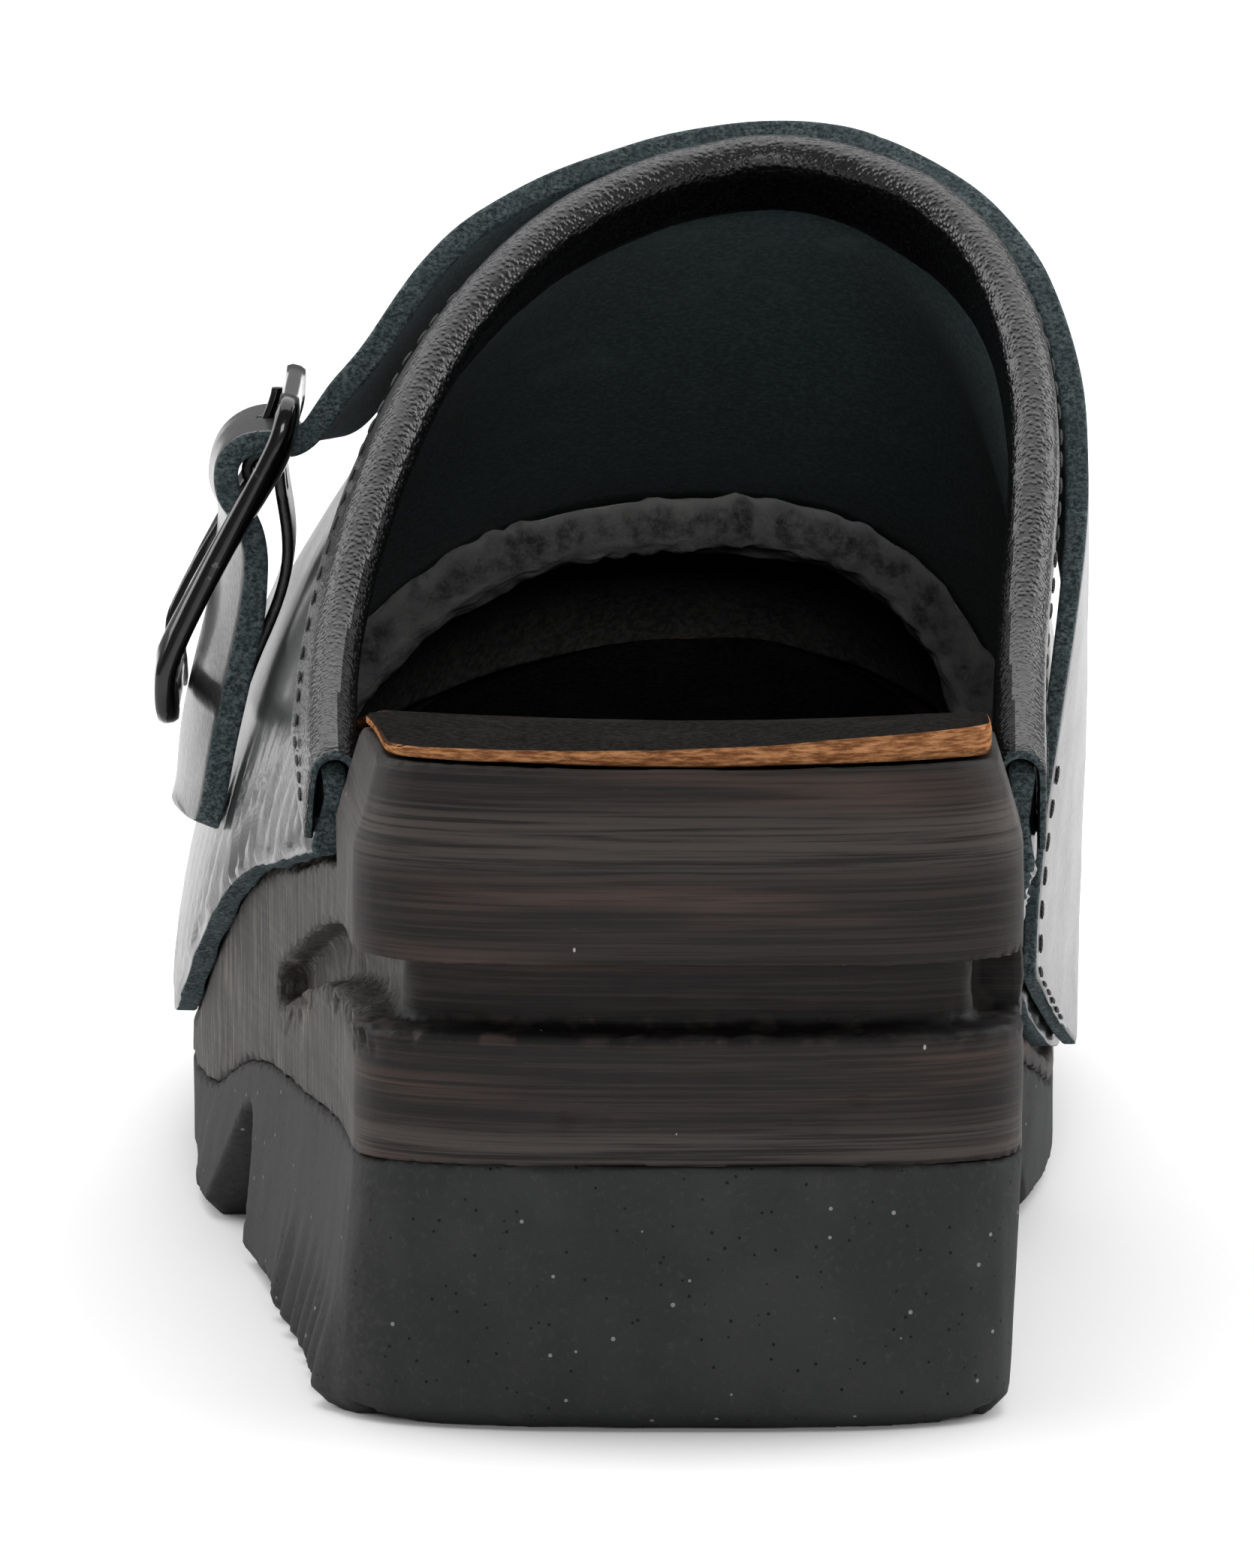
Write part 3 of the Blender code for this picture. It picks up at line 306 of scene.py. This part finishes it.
def moulded_rubber():
    """Charcoal sole rubber with dust and tiny specks."""
    finish = Finish("charcoal rubber", specular_ior_level=0.22)
    skin = finish.cloud(0.8 * MM, 5.0, 0.75)
    cloudy = finish.cloud(16 * MM, 4.0, 0.6)
    pits = finish.cells(1.7 * MM)
    speck = finish.cells(3.4 * MM)
    shade = finish.mix(cloudy.between(0.35, 0.7), (0.0190, 0.0200, 0.0200), (0.0290, 0.0300, 0.0302))
    shade = finish.mix(skin.between(0.52, 0.72) * 0.5, shade, (0.052, 0.053, 0.053))
    shade = finish.mix((0.070 - speck).over(0.0), shade, (0.20, 0.20, 0.20))
    shade = finish.mix((0.11 - pits).over(0.0), shade, (0.003, 0.003, 0.003))
    # dust and scrapes along the outer flank
    flank = finish.x.between(-0.030, -0.036) * skin.between(0.42, 0.62)
    shade = finish.mix(flank * 0.55, shade, (0.040, 0.038, 0.037))
    finish.colour(shade)
    finish.rough(0.66 + cloudy * 0.12 + skin * 0.10)
    finish.relief((skin, 0.07 * MM), (cloudy, 0.20 * MM), (pits.between(0.02, 0.16), 0.05 * MM))
    return finish.material


def insole_leather():
    """Insole: black worn top, tan cut edge."""
    finish = Finish("leather sock", specular_ior_level=0.0)
    facing = finish.node("ShaderNodeNewGeometry")["True Normal"]
    upward = finish.node("ShaderNodeSeparateXYZ", {}, {0: facing})[2]
    nap = finish.cloud(0.8 * MM, 5.0, 0.7)
    patches = finish.cloud(12 * MM, 4.0)
    fibres = finish.cloud((2.5 * MM, 2.5 * MM, 0.35 * MM), 4.0, 0.7)
    top = finish.mix(nap.between(0.35, 0.7), (0.0070, 0.0066, 0.0063), (0.0200, 0.0190, 0.0180))
    top = finish.mix(patches.between(0.5, 0.8) * 0.5, top, (0.0280, 0.0260, 0.0245))
    edge = finish.mix(fibres.between(0.35, 0.7), (0.13, 0.048, 0.019), (0.46, 0.22, 0.098))
    finish.colour(finish.mix(upward.between(0.45, 0.75), edge, top))
    finish.rough(0.80 + nap * 0.16)
    finish.relief((nap, 0.08 * MM), (fibres, 0.05 * MM))
    return finish.material


def grey_felt():
    """Napped grey strip with painted highlights: palest along its gathered edge, with a second pale band
    ahead of it.
    """
    finish = Finish("grey felt", specular_ior_level=0.10, sheen_weight=0.30, sheen_roughness=0.6)
    hair = finish.cloud((0.5 * MM, 1.2 * MM, 0.5 * MM), 5.0, 0.75)
    folds = finish.cloud((2.6 * MM, 5 * MM, 2.6 * MM), 4.0, 0.6)
    # painted highlights: a pale line along the gathered edge and a weaker one on the band ahead of it, both
    # strongest on the fold crests
    edge = 1 - (finish.y - CAP_EDGE + 0.0012).absolute().between(0.0004, 0.0030)
    band = 1 - (finish.y - CAP_EDGE - 0.0050).absolute().between(0.0006, 0.0020)
    base = finish.mix(folds.between(0.36, 0.62), (0.024, 0.0245, 0.025), (0.150, 0.148, 0.146))
    base = finish.mix(edge.most(band * 0.6) * folds.between(0.22, 0.50), base, (0.40, 0.395, 0.385))
    finish.colour(finish.mix(hair.between(0.4, 0.75) * 0.4, base, (0.34, 0.335, 0.325)))
    finish.rough(0.92)
    finish.relief((hair, 0.24 * MM), (folds, 0.40 * MM))
    return finish.material


def dark_metal(name, wear=0.3):
    """Black plated buckle metal with small bright rubs."""
    finish = Finish(name, metallic=1.0, coat_weight=0.6, coat_roughness=0.06)
    rubs = finish.cloud(2.2 * MM, 5.0, 0.75)
    smear = finish.cloud(6 * MM, 3.0)
    finish.colour(finish.mix(rubs.between(0.62, 0.72) * wear, (0.016, 0.0155, 0.016), (0.36, 0.35, 0.34)))
    finish.rough(0.16 + smear * 0.14)
    finish.relief((smear, 0.06 * MM), (rubs, 0.03 * MM))
    return finish.material


def matt_cap():
    """Painted cap under its cloth lining."""
    finish = Finish("matt black cap", specular_ior_level=0.1)
    weave = finish.cloud((0.9 * MM, 0.9 * MM, 0.9 * MM), 4.0, 0.7)
    clouds = finish.cloud(11 * MM, 4.0, 0.6)
    base = finish.mix(weave.between(0.35, 0.7), (0.040, 0.040, 0.038), (0.11, 0.107, 0.102))
    finish.colour(finish.mix(clouds.between(0.5, 0.75) * 0.6, base, (0.16, 0.155, 0.147)))
    finish.rough(0.88)
    finish.relief((weave, 0.08 * MM))
    return finish.material


def thread():
    """Waxed dark thread."""
    finish = Finish("grey thread", specular_ior_level=0.3)
    twist = ((finish.x + finish.y + finish.z) * (2 * math.pi / (0.55 * MM))).sine()
    finish.colour(finish.mix(twist.between(-0.4, 0.8), (0.012, 0.0125, 0.013), (0.060, 0.061, 0.062)))
    finish.rough(0.62)
    finish.relief((twist * 0.5 + 0.5, 0.05 * MM))
    return finish.material


FINISHES = {
    "leather": polished_leather(),
    "binding": pebbled_leather("pebbled black leather", 0.5),
    # same leather with little shine and weaker pale patches: painted shade for the binding's leg inside the
    # shoe
    "binding painted shade": pebbled_leather("pebbled leather painted shade", 0.08),
    "cut": cut_leather(),
    "lining": lining_leather(),
    "wood": stained_wood(),
    "rubber": moulded_rubber(),
    "insole": insole_leather(),
    "felt": grey_felt(),
    "metal": dark_metal("dark nickel"),
    "prong": dark_metal("prong nickel", 0.5),
    "cap": matt_cap(),
    "thread": thread(),
}


def tree_of(node):
    """Nearest-point and ray tests against a solid."""
    mesh = NODES[node].data
    points = [vert.co for vert in mesh.vertices]
    return BVHTree.FromPolygons(points, [face.vertices for face in mesh.polygons])


def mesh_from(grid, name):
    """Mesh with what a bmesh holds; the bmesh is freed."""
    mesh = bpy.data.meshes.new(name)
    grid.to_mesh(mesh)
    grid.free()
    return mesh


def placed(name, data):
    """New object in the scene."""
    made = bpy.data.objects.new(name, data)
    bpy.context.scene.collection.objects.link(made)
    return made


def joined(node):
    """Solid's mesh with its doubles merged and its triangles back in quads."""
    grid = bmesh.new()
    grid.from_mesh(NODES[node].data)
    bmesh.ops.remove_doubles(grid, verts=grid.verts, dist=1e-5)
    bmesh.ops.join_triangles(grid, faces=grid.faces, angle_face_threshold=math.radians(40),
                             angle_shape_threshold=math.radians(50))
    return grid


def settled(obj):
    """Mesh of an object with its modifiers worked in; the object is taken away."""
    graph = bpy.context.evaluated_depsgraph_get()
    mesh = bpy.data.meshes.new_from_object(obj.evaluated_get(graph))
    bpy.data.objects.remove(obj)
    return mesh


def shown(name, mesh, nodes, slot, *finishes):
    """Named piece that stands for its solids; its faces' numbers choose among the finishes."""
    made = placed(name, mesh)
    mesh.name = name
    keep = [face.material_index for face in mesh.polygons]
    mesh.materials.clear()
    for finish in finishes:
        mesh.materials.append(FINISHES[finish])
    for face, index in zip(mesh.polygons, keep):
        face.material_index = min(index, len(finishes) - 1)
    mesh.shade_smooth()
    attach(made, "root")
    if nodes:
        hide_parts(*nodes)
    return made


def spread_from(grid, place, ray):
    """Faces that join smoothly onto the one first met by a ray."""
    first = BVHTree.FromBMesh(grid).ray_cast(Vector(place), Vector(ray))[2]
    grid.faces.ensure_lookup_table()
    found, waiting = set(), [grid.faces[first]]
    while waiting:
        face = waiting.pop()
        if face in found:
            continue
        found.add(face)
        waiting += [other for edge in face.edges
                    if edge.is_manifold and edge.calc_face_angle(0.0) < SMOOTH_ANGLE
                    for other in edge.link_faces if other not in found]
    return found


def refined(node, levels, crease=0.85, sides=()):
    """Smooth fine copy of a solid's mesh. Each side, a place and a ray that meets it, takes the
    next finish; the faces of no side, such as cut edges, take the last."""
    grid = joined(node)
    for face in grid.faces:
        face.material_index = len(sides)
    for index, (place, ray) in enumerate(sides):
        for face in spread_from(grid, place, ray):
            face.material_index = index
    layer = grid.edges.layers.float.new("crease_edge")
    for edge in grid.edges:
        if edge.is_manifold and edge.calc_face_angle(0.0) > SHARP_ANGLE:
            edge[layer] = crease
    made = placed(node + "_fine", mesh_from(grid, node + "_fine"))
    finer = made.modifiers.new("Finer", "SUBSURF")
    finer.levels = finer.render_levels = levels
    return settled(made)


def regridded(node, grid_size):
    """Even fine copy of a solid's mesh, drawn back onto the solid."""
    made = placed(node + "_grid", mesh_from(joined(node), node + "_grid"))
    remesh = made.modifiers.new("Even", "REMESH")
    remesh.mode = "VOXEL"
    remesh.voxel_size = grid_size
    wrap = made.modifiers.new("Drawn back", "SHRINKWRAP")
    wrap.target = NODES[node]
    wrap.wrap_method = "NEAREST_SURFACEPOINT"
    return settled(made)


def worked(mesh, move):
    """Moves each point of a mesh by what move(place, normal) gives."""
    shifts = [move(vert.co, vert.normal) for vert in mesh.vertices]
    for vert, shift in zip(mesh.vertices, shifts):
        vert.co += shift
    mesh.update()


def ease(value, low, high):
    """0 at low, 1 at high, smooth between and level beyond."""
    share = min(1.0, max(0.0, (value - low) / (high - low)))
    return share * share * (3 - 2 * share)


def rumple(place, size, seed=0.0):
    """Smooth noise of a size, -1 to 1."""
    return noise.noise(place / size + Vector((seed, seed * 1.7, seed * 2.3)))


# Sole

WOOD = tree_of("wooden_sole")


def sole_rows():
    """Places along the shoe of the sole's rows."""
    return [BACK + SOLE_LENGTH * (1 - math.cos(math.pi * k / SOLE_ROWS)) / 2
            for k in range(SOLE_ROWS + 1)]


def wood_top(y):
    """Height of the footbed on the middle line."""
    y = min(BACK + SOLE_LENGTH - 2 * MM, max(BACK + 0.4 * MM, y))
    return WOOD.ray_cast(Vector((0.004, y, 1)), Vector((0, 0, -1)))[0].z


def sole_ring():
    """Corners of the sole's outline as the solid has it, once round from the back."""
    outer, inner = [], []
    for y in sole_rows()[1:-1]:
        bottom = WOOD.ray_cast(Vector((0.002, y, -1)), Vector((0, 0, 1)))[0]
        level = (bottom.z if bottom else 0.02) + 1.5 * MM
        left = WOOD.ray_cast(Vector((-1, y, level)), Vector((1, 0, 0)))[0]
        right = WOOD.ray_cast(Vector((1, y, level)), Vector((-1, 0, 0)))[0]
        if left and right:
            outer.append(left.to_2d())
            inner.append(right.to_2d())
    back = Vector(((outer[0].x + inner[0].x) / 2, BACK))
    front = Vector(((outer[-1].x + inner[-1].x) / 2, BACK + SOLE_LENGTH))
    return [back] + inner + [front] + outer[::-1]


class Rounder:
    """Small sideways shifts that turn the outline's straight stretches into curves."""

    def __init__(self, ring):
        self.ring = ring
        points = [Vector((p.x, p.y, z)) for p in ring for z in (-1.0, 1.0)]
        count = len(ring)
        walls = [(2 * k, 2 * ((k + 1) % count), 2 * ((k + 1) % count) + 1, 2 * k + 1) for k in range(count)]
        self.walls = BVHTree.FromPolygons(points, walls)

    def shift(self, place):
        """From the outline's straight stretch to a curve through its corners; fades inwards."""
        spot, _, index, distance = self.walls.find_nearest(Vector((place.x, place.y, 0.0)))
        count = len(self.ring)
        before, start, end, after = [self.ring[(index + k) % count] for k in (-1, 0, 1, 2)]
        span = (end - start).length
        t = (spot.to_2d() - start).length / max(span, 1e-6)
        into = (end - before) * span / max((end - before).length, 1e-6)
        out = (after - start) * span / max((after - start).length, 1e-6)
        curve = ((2 * t ** 3 - 3 * t ** 2 + 1) * start + (t ** 3 - 2 * t ** 2 + t) * into
                 + (3 * t ** 2 - 2 * t ** 3) * end + (t ** 3 - t ** 2) * out)
        moved = (curve - start.lerp(end, t)) * (1 - ease(distance, 5 * MM, 12 * MM))
        return Vector((moved.x, moved.y, 0.0))


ROUNDER = Rounder(sole_ring())


def make_wooden_sole():
    """Wood with its torn grain along the groove and soft worn corners."""
    first, last = round(BACK / MM), round((BACK + SOLE_LENGTH) / MM)
    tops = {k: wood_top(k * MM) for k in range(first, last + 1)}

    def move(place, normal):
        top = tops[min(last, max(first, round(place.y / MM)))]
        shift = ROUNDER.shift(place)
        level = place.z - (top - GROOVE_DROP - GROOVE_HEIGHT)
        corner = math.exp(-(level / (1.3 * MM)) ** 2)
        corner *= 1 - ease(place.y, GROOVE_FRONT - 8 * MM, GROOVE_FRONT)
        torn = max(0.0, rumple(place, 1.5 * MM) + 0.45 * rumple(place, 0.6 * MM, 3.0) + 0.1)
        patchy = ease(rumple(place, 15 * MM, 7.0), -0.35, 0.25)
        shift -= normal * TORN_DEPTH * torn * corner * patchy
        inside_groove = ease(level, 0.0, 1.2 * MM)
        inside_groove *= 1 - ease(level, GROOVE_HEIGHT - 1.5 * MM, GROOVE_HEIGHT)
        if inside_groove > 0.0 and place.y < GROOVE_FRONT:
            shift += normal * 0.35 * MM * inside_groove * rumple(place, 2.2 * MM, 5.0)
        shift += normal * 0.16 * MM * rumple(place, 9 * MM, 1.0)
        return shift

    mesh = regridded("wooden_sole", WOOD_GRID)
    worked(mesh, move)
    return shown("wooden_sole_grain", mesh, ["wooden_sole"], "black stained wood", "wood")


def make_outsole():
    """Rubber with its tread: ribs down the heel's outer flank, soft unevenness elsewhere."""
    def move(place, normal):
        shift = ROUNDER.shift(place) + normal * 0.10 * MM * rumple(place, 6 * MM, 2.0)
        station = place.y - BACK
        low = 1 - ease(place.z, 2 * MM, 15 * MM)
        heel = ease(station, 6 * MM, 12 * MM) * (1 - ease(station, 58 * MM, 68 * MM))
        rib = 0.5 + 0.5 * fold(station + 2.2 * MM, RIB_PITCH, 1.0, 1.0)
        if normal.x < -0.3:
            shift.x -= RIB_DEPTH * rib * low * heel
        shift.z += RUBBER_LIFT * ease(normal.z, 0.3, 0.8) * ease(place.z, 5 * MM, 9 * MM)
        return shift

    mesh = regridded("outsole", RUBBER_GRID)
    worked(mesh, move)
    return shown("outsole_tread", mesh, ["outsole"], "charcoal rubber", "rubber")


def make_insole():
    """Leather sock, slightly uneven."""
    mesh = refined("insole", 2, 0.95)
    worked(mesh, lambda place, normal: normal * 0.12 * MM * rumple(place, 7 * MM, 4.0))
    return shown("insole_sock", mesh, ["insole"], "leather sock", "insole")


# Upper and its binding

def inside_line(y):
    """Middle of the foot's room at a place along the shoe."""
    y = min(y, 0.175)
    return Vector((0.001, y, 0.072 - 0.042 * ease(y, -0.02, 0.14)))


def edge_heights():
    """Lowest points of the leather along the shoe, outer and inner side."""
    found = {-1: {}, 1: {}}
    for vert in NODES["upper"].data.vertices:
        side = -1 if vert.co.x < 0 else 1
        key = round(vert.co.y / EDGE_STEP)
        found[side][key] = min(found[side].get(key, 1.0), vert.co.z)
    tables = {}
    for side, rows in found.items():
        heights = sorted(rows.items())
        lowest = [heights[0]]
        for key, height in heights[1:]:
            if key > EDGE_TOE_ROW or height < lowest[-1][1] + 0.5 * MM:
                lowest.append((key, height))
        tables[side] = lowest
    return tables


EDGES = edge_heights()


def leather_edge(side, y):
    """Height of the leather's lower edge."""
    rows = EDGES[side]
    key = y / EDGE_STEP
    if key <= rows[0][0]:
        return rows[0][1]
    for (start, low), (end, high) in zip(rows, rows[1:]):
        if key <= end:
            return low + (high - low) * (key - start) / (end - start)
    return rows[-1][1]


def fold(along, pitch, sharp=1.6, seed=0.0):
    """Row of soft rounded folds with narrow valleys, -1 to 1, at uneven spacing."""
    wander = 0.32 * pitch * noise.noise(Vector((along / (2.6 * pitch), seed, 0.0)))
    wave = math.sin(2 * math.pi * (along + wander) / pitch)
    return 2 * ((wave * 0.5 + 0.5) ** (1 / sharp)) - 1


def make_upper():
    """Vamp: polished outside, napped inside, gathered into folds above its nailed edge."""
    def move(place, normal):
        side = -1 if place.x < 0 else 1
        above = place.z - leather_edge(side, place.y)
        outward = normal.dot((place - inside_line(place.y)).normalized())
        shift = Vector()
        # gathers run up from the edge; strongest behind the strap
        reach = 1 - ease(above, 2.5 * MM, GATHER_HEIGHT)
        behind = 1 - 0.7 * ease(place.y, 0.050, 0.085)
        lean = place.y + 0.45 * above + 0.004 * rumple(place, 22 * MM, 6.0)
        gather = fold(lean, GATHER_PITCH, 1.7, 11.0 if side < 0 else 4.0)
        strength = GATHER_DEPTH * (0.80 + 0.45 * rumple(place, 14 * MM, 8.0))
        if outward > 0.1:
            shift += normal * gather * strength * reach * behind * ease(above, 0.0, 1.5 * MM)
        # the cut edge is crimped crosswise
        if above < 3.2 * MM:
            crimp = fold(place.y + 0.3 * place.z, CRIMP_PITCH, 1.0, 2.0)
            shift += normal * CRIMP_DEPTH * crimp * (1 - ease(above, 1.6 * MM, 3.2 * MM))
        shift += normal * 0.16 * MM * rumple(place, 11 * MM, 3.0) * (1 if outward > 0 else 0.6)
        return shift

    outside = ((0.005, 0.11, 1), (0, 0, -1))
    inside = ((0.005, 0.11, 0.07), (0, 0, 1))
    mesh = refined("upper", 3, 0.80, (outside, inside))
    worked(mesh, move)
    return shown("vamp", mesh, ["upper"], "polished black leather", "leather", "lining", "cut")


def make_binding():
    """Folded tape: pebbled, with painted shade on the leg inside the shoe (a duller, darker copy of its
    leather), with cut ends at the wings.
    """
    def move(place, normal):
        soft = rumple(place, 5 * MM, 1.0)
        return normal * (0.12 * MM * soft + 0.05 * MM * rumple(place, 1.6 * MM, 2.0))

    mesh = refined("topline_binding", 2, 0.75)
    for face in mesh.polygons:
        end = face.normal.y < -0.80 and face.center.y < WING_END + 1.5 * MM
        outward = face.normal.dot((face.center - inside_line(face.center.y)).normalized())
        # faces turned into the shoe take the darker, duller copy: painted shade
        face.material_index = 1 if end else 2 if outward < -0.25 else 0
    worked(mesh, move)
    return shown("binding_tape", mesh, ["topline_binding"], "pebbled black leather",
                 "binding", "cut", "binding painted shade")


def topline():
    """Points on the middle of the bound edge, outer wing to inner wing, with outward normals."""
    tape = tree_of("topline_binding")
    found = []
    for k in range(-76, 77, 2):
        angle = math.radians(k)
        ray = Vector((math.sin(angle), 0, math.cos(angle)))
        y = WING_END - 4 * MM
        while y < TOPLINE_PEAK + 12 * MM:
            start = Vector((0.002, y, 0.055))
            inner = tape.ray_cast(start, ray)[0]
            if inner:
                start.y += 1.4 * MM
                inner = tape.ray_cast(start, ray)[0]
                outer = tape.ray_cast(start + ray * 0.2, -ray)[0]
                if inner and outer:
                    found.append(((inner + outer) / 2, (outer - inner).normalized()))
                break
            y += 0.5 * MM
    return found


def evenly(path, pitch):
    """Places along a path of (point, normal) at even steps, with the path's direction."""
    made, left = [], pitch / 2
    for (start, first), (end, second) in zip(path, path[1:]):
        span, along = (end - start).length, (end - start).normalized()
        while left <= span:
            share = left / span
            made.append((start.lerp(end, share), first.lerp(second, share).normalized(), along))
            left += pitch
        left -= span
    return made


def add_stitch(grid, spot, along, normal):
    """One stitch: a small bead, drawn out along the row and half sunk in the leather."""
    along = (along - normal * along.dot(normal)).normalized()
    turn = Matrix((along, normal.cross(along), normal)).transposed().to_4x4()
    sized = Matrix.Diagonal((STITCH_LENGTH / 2, STITCH_RADIUS, STITCH_RADIUS * 0.8, 1.0))
    place = Matrix.Translation(spot + normal * STITCH_LIFT)
    bmesh.ops.create_uvsphere(grid, u_segments=6, v_segments=5, radius=1.0, matrix=place @ turn @ sized)


def make_binding_stitches():
    """Two rows that hold the binding, one outside and one inside."""
    tape = tree_of("topline_binding")
    path = topline()
    grid = bmesh.new()
    for place, normal, along in evenly(path, STITCH_PITCH):
        into = normal.cross(along).normalized()
        into = into if into.y > 0 else -into
        for side in (1, -1):
            aim = place + into * STITCH_SET_IN + normal * side * 3.2 * MM
            spot, facing, _, _ = tape.find_nearest(aim)
            if facing.dot(normal * side) < 0.3:
                continue
            add_stitch(grid, spot, along, facing)
    mesh = mesh_from(grid, "binding_stitches")
    return shown("binding_stitches", mesh, [], "pebbled black leather", "thread")


def make_wing_tacks():
    """Round-headed tack near each wing's end."""
    grid = bmesh.new()
    upper = tree_of("upper")
    for side in (-1, 1):
        start = Vector((side * 0.09, WING_END + 3.4 * MM, 0.0585))
        spot, facing, _, _ = upper.ray_cast(start, Vector((-side, 0, 0)))
        turn = facing.to_track_quat("Z", "Y").to_matrix().to_4x4()
        sized = Matrix.Diagonal((1.3 * MM, 1.3 * MM, 0.6 * MM, 1.0))
        bmesh.ops.create_uvsphere(grid, u_segments=14, v_segments=8, radius=1.0,
                                  matrix=Matrix.Translation(spot + facing * 0.1 * MM) @ turn @ sized)
    return shown("wing_tacks", mesh_from(grid, "wing_tacks"), [], "dark nickel", "metal")


# Toe cap

def make_cap():
    """Hard cap inside the toe."""
    return shown("cap_shell", refined("toe_cap", 2, 0.9), ["toe_cap"], "matt black cap", "cap")


def make_cap_strip():
    """Strip gathered over the cap's edge in uneven pleats."""
    def move(place, normal):
        arc = math.atan2(place.x, place.z - 0.030) * 0.036
        near = 1 - ease(place.y, CAP_EDGE + 1 * MM, CAP_EDGE + 7 * MM)
        lean = arc + 0.4 * (place.y - CAP_EDGE) + 3 * MM * rumple(place, 11 * MM, 3.0)
        pleat = fold(lean, PLEAT_PITCH, 1.5, 5.0)
        coarse = rumple(place, 6.5 * MM, 9.0)
        return normal * (PLEAT_DEPTH * pleat * (0.5 + 0.5 * coarse) * near + 0.75 * MM * coarse
                         + 0.22 * MM * rumple(place, 1.5 * MM, 2.0))

    mesh = refined("cap_edge_strip", 3, 0.5)
    worked(mesh, move)
    return shown("gathered_strip", mesh, ["cap_edge_strip"], "grey felt", "felt")


# Strap and buckle

def make_strap():
    """Polished outside, napped inside, fibrous along the cut edges and the tail's end."""
    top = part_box("instep_strap")[1]
    y = TOPLINE_PEAK + 0.014
    outside = ((0.01, y, top[2] + 0.1), (0, 0, -1))
    inside = ((0.01, y, 0.1), (0, 0, 1))
    mesh = refined("instep_strap", 3, 0.80, (outside, inside))
    worked(mesh, lambda place, normal: normal * 0.14 * MM * rumple(place, 8 * MM, 5.0))
    return shown("strap_leather", mesh, ["instep_strap"], "black strap leather", "leather", "lining", "cut")


def make_holder():
    """Short strap that holds the buckle."""
    mesh = refined("buckle_strap", 2, 0.80)
    return shown("holder_leather", mesh, ["buckle_strap"], "black holder leather", "leather")


def make_buckle():
    """Frame with its side bars a little fuller, and the prong."""
    low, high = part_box("buckle_frame")
    middle = (low[1] + high[1]) / 2
    ring = refined("buckle_frame", 2, 0.45)
    worked(ring, lambda place, normal: normal * 0.4 * MM * ease(abs(place.y - middle), 10 * MM, 12.5 * MM))
    shown("buckle_ring", ring, ["buckle_frame"], "dark nickel", "metal")
    shown("buckle_tongue", refined("buckle_prong", 2, 0.6), ["buckle_prong"], "prong nickel", "prong")


def make_base_stitches():
    """Row that holds the strap's base to the vamp on the inner side."""
    strap = tree_of("instep_strap")
    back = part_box("instep_strap")[0][1] - 5 * MM
    path = []
    for k in range(18):
        z = 0.024 + 0.002 * k
        hits = []
        for step in range(200):
            start = Vector((0.09, back + step * 0.4 * MM, z))
            spot, facing, _, _ = strap.ray_cast(start, Vector((-1, 0, 0)))
            if spot and spot.x > 0.02:
                hits.append((spot, facing))
        if len(hits) > 12:
            row = hits[0][0].y + BASE_STITCH_SET_IN
            path.append(min(hits, key=lambda hit: abs(hit[0].y - row)))
    grid = bmesh.new()
    for place, _, along in evenly(path, BASE_STITCH_PITCH):
        spot, facing, _, _ = strap.find_nearest(place)
        add_stitch(grid, spot, along, facing)
    mesh = mesh_from(grid, "base_stitches")
    return shown("base_stitches", mesh, [], "black strap leather", "thread")


# Studio

def aimed(made, place, aim):
    """Sets an object at a place, looking at the aim."""
    made.location = place
    made.rotation_euler = (Vector(aim) - Vector(place)).to_track_quat("-Z", "Y").to_euler()


def make_camera():
    """Camera behind the heel and a little above it."""
    data = bpy.data.cameras.new("Camera")
    data.lens = CAMERA_LENS
    data.sensor_width = SENSOR_LONG_SIDE
    data.clip_end = 30.0
    bpy.context.scene.camera = placed("Camera", data)
    aimed(bpy.context.scene.camera, CAMERA_PLACE, CAMERA_AIM)


def make_softbox(name, place, size, power):
    """Lamp of a width and height that faces the shoe; power in watts."""
    data = bpy.data.lights.new(name, "AREA")
    data.shape = "RECTANGLE"
    data.size, data.size_y = size
    data.energy = power
    aimed(placed(name, data), place, (0, 0.04, 0.06))


def make_studio():
    """Soft light from both sides, above and behind the camera, over a plain white floor."""
    make_softbox("Left softbox", (-1.6, 0.6, 1.0), (1.4, 1.2), 22)
    make_softbox("Right softbox", (1.6, 0.6, 1.0), (1.4, 1.2), 24)
    make_softbox("Top softbox", (0.0, 0.7, 2.0), (2.8, 2.8), 56)
    make_softbox("Front fill", (0.15, -2.0, 0.75), (0.6, 0.5), 10)
    world = bpy.data.worlds.new("Studio")
    bpy.context.scene.world = world
    world.use_nodes = True
    background = world.node_tree.nodes["Background"]
    background.inputs["Color"].default_value = (1.0, 1.0, 1.0, 1.0)
    background.inputs["Strength"].default_value = 0.26
    bpy.context.scene.view_settings.view_transform = "Standard"
    grid = bmesh.new()
    bmesh.ops.create_grid(grid, x_segments=1, y_segments=1, size=9.0)
    floor = placed("Floor", mesh_from(grid, "Floor"))
    paper = Finish("white paper", roughness=0.8, specular_ior_level=0.1)
    paper.colour((0.92, 0.92, 0.92))
    floor.data.materials.append(paper.material)


make_camera()
make_studio()
make_wooden_sole()
make_outsole()
make_insole()
make_upper()
make_binding()
make_binding_stitches()
make_wing_tacks()
make_cap()
make_cap_strip()
make_strap()
make_holder()
make_buckle()
make_base_stitches()
